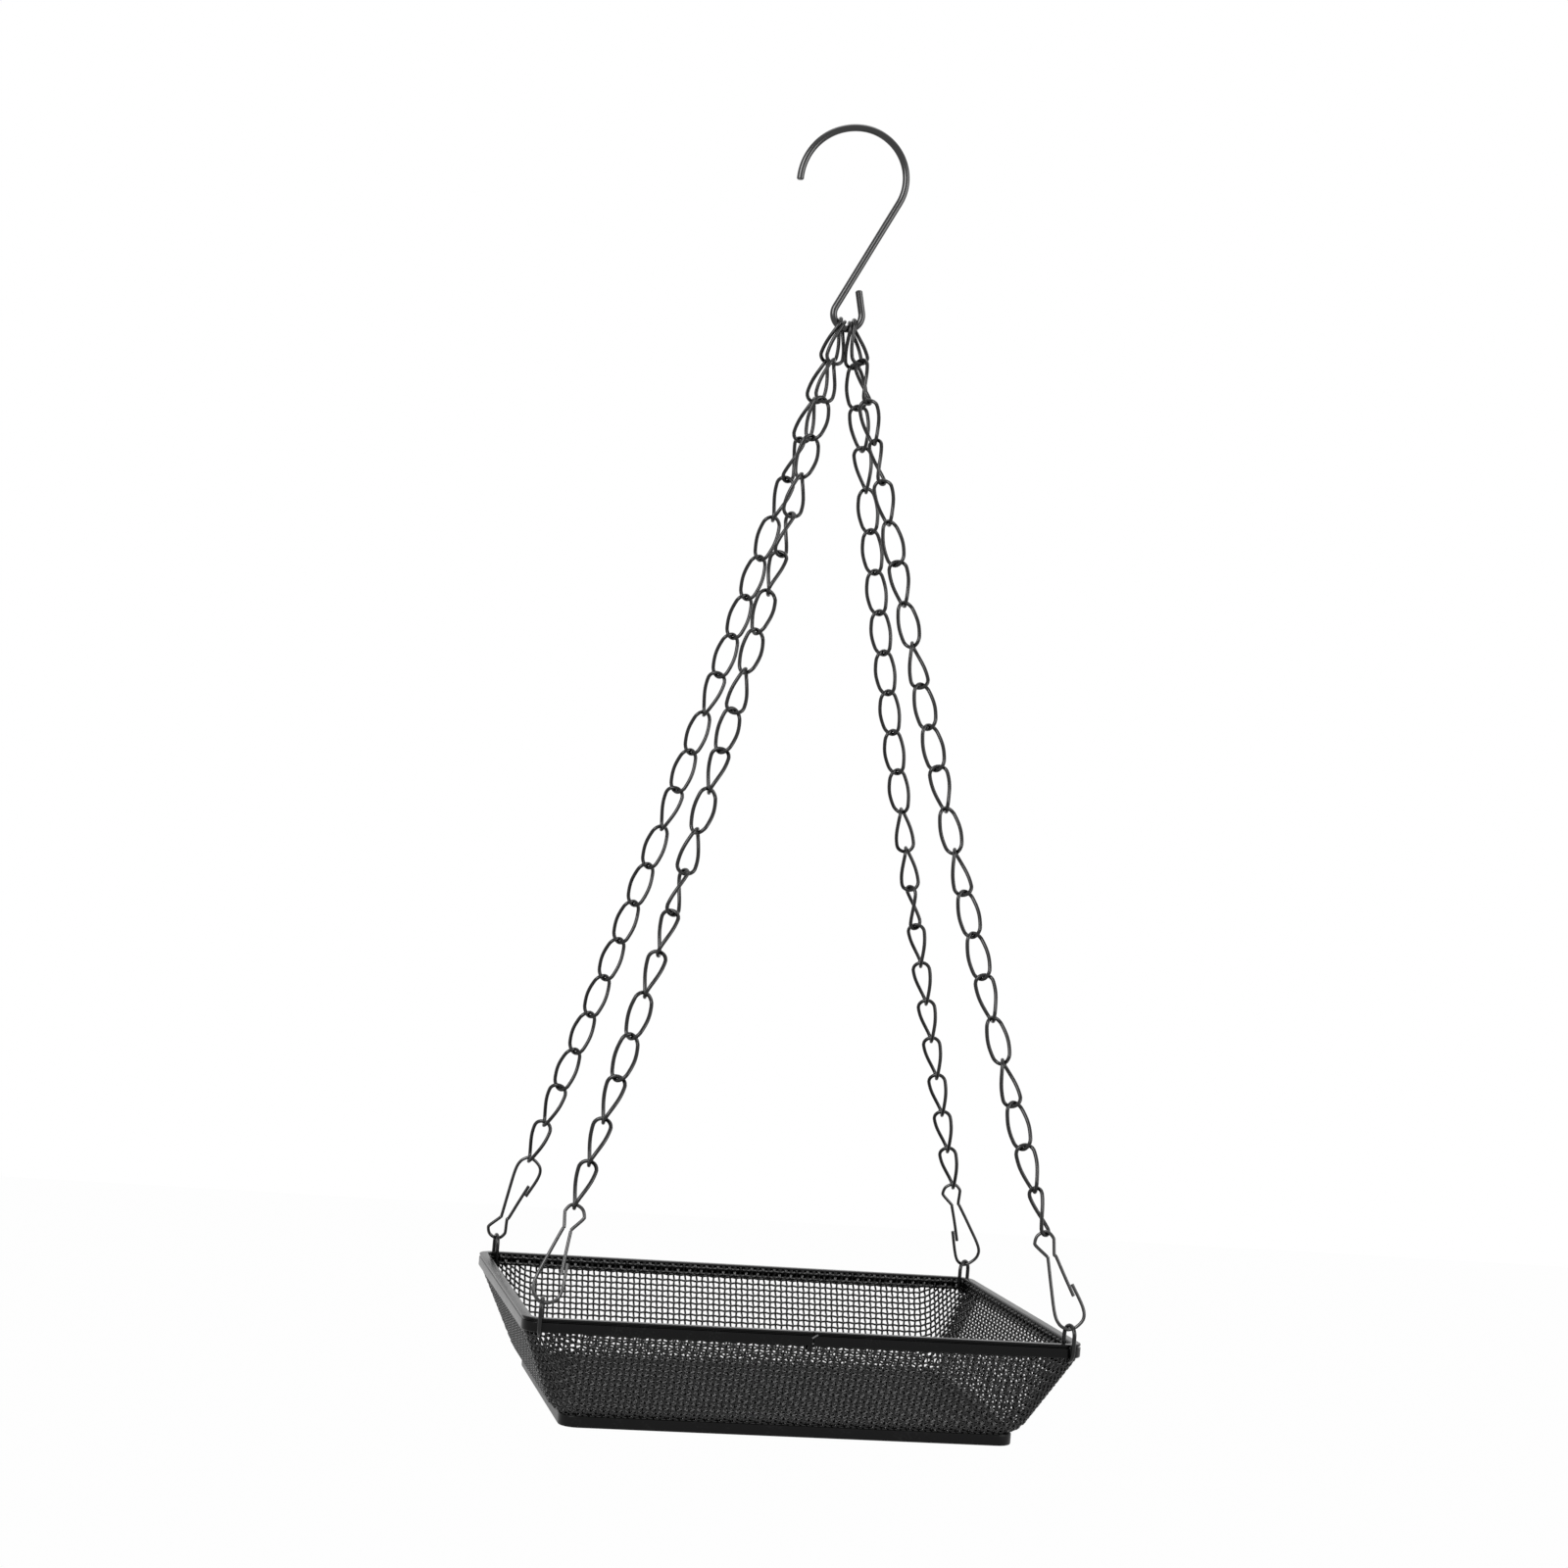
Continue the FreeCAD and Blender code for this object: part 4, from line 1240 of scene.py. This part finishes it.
@dataclass
class Studio:
    """Pale floor, white surroundings and three soft lamps.

    Attributes:
        floor_level: Level of the floor, below the hanging tray.
        ambient: Strength of the surroundings on dull surfaces.
        lamps: The lamps.
    """

    floor_level: float = -1.7
    ambient: float = 0.3
    lamps: tuple[Lamp, ...] = (
        Lamp("key", (-1.3, -1.5, 0.6), 38),
        Lamp("fill", (1.6, -1.3, 0.1), 22),
        Lamp("over", (0.2, 0.3, 1.2), 9),
    )

    def seen_white(self, shader: Shader) -> Socket:
        """1 for what the camera sees straight, in gloss or through glass."""
        names = ("Is Camera Ray", "Is Glossy Ray", "Is Transmission Ray")
        straight, gloss, glass = (shader.node("ShaderNodeLightPath", output=n) for n in names)
        return straight.either(gloss).either(glass)

    def floor(self) -> None:
        """Makes the floor, which is seen almost plain white and throws back a grey."""
        reach, level, grey, seen_share = 9.0, self.floor_level, (0.86, 0.86, 0.86, 1), 0.985
        mesh = bpy.data.meshes.new("floor")
        corners = [(x * reach, y * reach, level) for x, y in ((-1, -1), (1, -1), (1, 1), (-1, 1))]
        mesh.from_pydata(corners, [], [(0, 1, 2, 3)])
        floor = bpy.data.objects.new("floor", mesh)
        bpy.context.scene.collection.objects.link(floor)
        pale = bpy.data.materials.new("pale_floor")
        pale.use_nodes = True
        shader = Shader(pale.node_tree)
        dull = shader.node("ShaderNodeBsdfDiffuse", {}, {"Color": grey})
        white = shader.node("ShaderNodeEmission", {}, {"Color": (1, 1, 1, 1), "Strength": 1.0})
        share = seen_share * self.seen_white(shader)
        surface = shader.node("ShaderNodeMixShader", {}, {0: share, 1: dull, 2: white})
        shader.node("ShaderNodeOutputMaterial", {}, {"Surface": surface})
        mesh.materials.append(pale)

    def surroundings(self) -> None:
        """Makes the world: white where it is seen, and dimmer as a light."""
        world = bpy.data.worlds.new("white_surroundings")
        world.use_nodes = True
        shader = Shader(world.node_tree)
        dim, bright = (
            shader.node("ShaderNodeBackground", {}, {"Color": (1, 1, 1, 1), "Strength": strength})
            for strength in (self.ambient, 1.0)
        )
        inputs = {0: self.seen_white(shader), 1: dim, 2: bright}
        sky = shader.node("ShaderNodeMixShader", {}, inputs)
        shader.node("ShaderNodeOutputWorld", {}, {"Surface": sky})
        bpy.context.scene.world = world

    def build(self) -> None:
        """Makes the floor, the surroundings and the lamps."""
        self.floor()
        self.surroundings()
        for lamp in self.lamps:
            lamp.build()


@dataclass
class ProductCamera:
    """The camera of the product picture, with its slight tilt.

    Attributes:
        aim: The point of the feeder that the offsets are counted from.
        azimuth: Turn to the left of the front, in degrees.
        elevation: Rise of the line of sight, in degrees.
        roll: Tilt of the picture, in degrees.
        aside: How far the aim lies to the camera's right.
        above: How far the aim lies above the camera's line.
        distance: Distance along the line of sight.
        lens: Focal length in pixels of the picture.
        picture: Side of the picture in pixels.
    """

    aim: Vector
    azimuth: float = 11.52
    elevation: float = -1.33
    roll: float = 4.75
    aside: float = 33 * MM
    above: float = 241 * MM
    distance: float = 1.570
    lens: float = 3048
    picture: float = 1600

    def build(self) -> None:
        """Makes the camera and gives it to the scene."""
        az, el, roll = (math.radians(a) for a in (self.azimuth, self.elevation, self.roll))
        ahead = Vector((math.sin(az) * math.cos(el), math.cos(az) * math.cos(el), -math.sin(el)))
        level = Vector((math.cos(az), -math.sin(az), 0))
        upright = level.cross(ahead)
        right = level * math.cos(roll) + upright * math.sin(roll)
        up = upright * math.cos(roll) - level * math.sin(roll)
        data = bpy.data.cameras.new("product_camera")
        sensor, sight = 36, 60
        data.sensor_width = sensor
        data.lens = self.lens / self.picture * sensor
        data.clip_end = sight
        camera = bpy.data.objects.new("product_camera", data)
        place = self.aim - right * self.aside - up * self.above - ahead * self.distance
        turn = Matrix((right, up, -ahead)).transposed()
        camera.matrix_world = Matrix.Translation(place) @ turn.to_4x4()
        bpy.context.scene.collection.objects.link(camera)
        bpy.context.scene.camera = camera


@dataclass
class Feeder:
    """The whole feeder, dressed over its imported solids."""

    finishes: Finishes = Finishes()

    def tray(self) -> list[Any]:
        """Makes the cloth, the rim and the base band.

        Returns:
            The pieces.
        """
        coats = self.finishes
        rim_low, rim_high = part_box("tray_rim")
        pan_low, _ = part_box("mesh_pan")
        band_low, band_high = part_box("base_band")
        half_x, half_y, top = rim_high
        rim_height = top - rim_low.z
        floor = pan_low.z + SOLID_CLOTH / 2
        cloth = WireCloth(half_x, half_y, top, rim_height, floor, coats.cloth)
        rim = FoldedStrip(
            "rim_folded",
            "tray_rim",
            coats.rim,
            half_x,
            half_y,
            cloth.rim_corner,
            Channel(top, rim_height, 1.8 * MM).creased(),
            seam=SEAM,
            seam_gap=SEAM_GAP,
            step=2 * MM,
        )
        lining_top = top - 0.9 * MM
        lining = FoldedStrip(
            "rim_lining",
            "",
            coats.cloth,
            half_x - ACROSS,
            half_y - ACROSS,
            cloth.rim_corner - ACROSS,
            lining_section(lining_top, rim_low.z + 0.3 * MM),
            seam=SEAM,
            step=0.5 * MM,
            dent=weave_relief(cloth.pitch, lining_top, cloth.wire * 0.8),
        )
        band = FoldedStrip(
            "band_folded",
            "base_band",
            coats.band,
            band_high.x,
            band_high.y,
            9 * MM,
            Channel(band_high.z, band_high.z - band_low.z, 1.4 * MM).plain(),
        )
        lock = SeamLock(half_y, top, rim_height, coats.rim, coats.edge)
        return [*cloth.build(), rim.build(), lining.build(), *lock.build(), band.build()]

    def hangers(self) -> list[Any]:
        """Makes the chains, the rings and the clips.

        Returns:
            The pieces.
        """
        coats, made = self.finishes, []
        for corner, form in CLIP_FORMS.items():
            chain, ring = LinkChain(corner, coats.chain), RimRing(corner, coats.ring)
            made += [*chain.build(), ring.build()]
            made.append(SprungClip(corner, coats.clip, form).build(chain.last, ring.top))
        return made

    def hook(self) -> Any:
        """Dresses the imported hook.

        Returns:
            The hook.
        """
        hook = bpy.data.objects["s_hook"]
        hook.data.materials.clear()
        hook.data.materials.append(self.finishes.hook.material())
        hook.data.polygons.foreach_set("use_smooth", [True] * len(hook.data.polygons))
        return hook

    def build(self) -> list[Any]:
        """Makes every piece.

        Returns:
            The pieces.
        """
        return [self.hook(), *self.tray(), *self.hangers()]


def main() -> None:
    """Builds the feeder, the studio and the camera, and reports each piece."""
    logging.basicConfig(level=logging.INFO, format="%(message)s")
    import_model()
    for piece in Feeder().build():
        log.info("%s: %d faces", piece.name, len(piece.data.polygons))
    Studio().build()
    hook_low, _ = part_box("s_hook")
    seat = Vector((0, 0, hook_low.z + HOOK_WIRE))
    ProductCamera(seat).build()
    bpy.context.scene.view_settings.view_transform = "Standard"


if __name__ == "__main__":
    main()
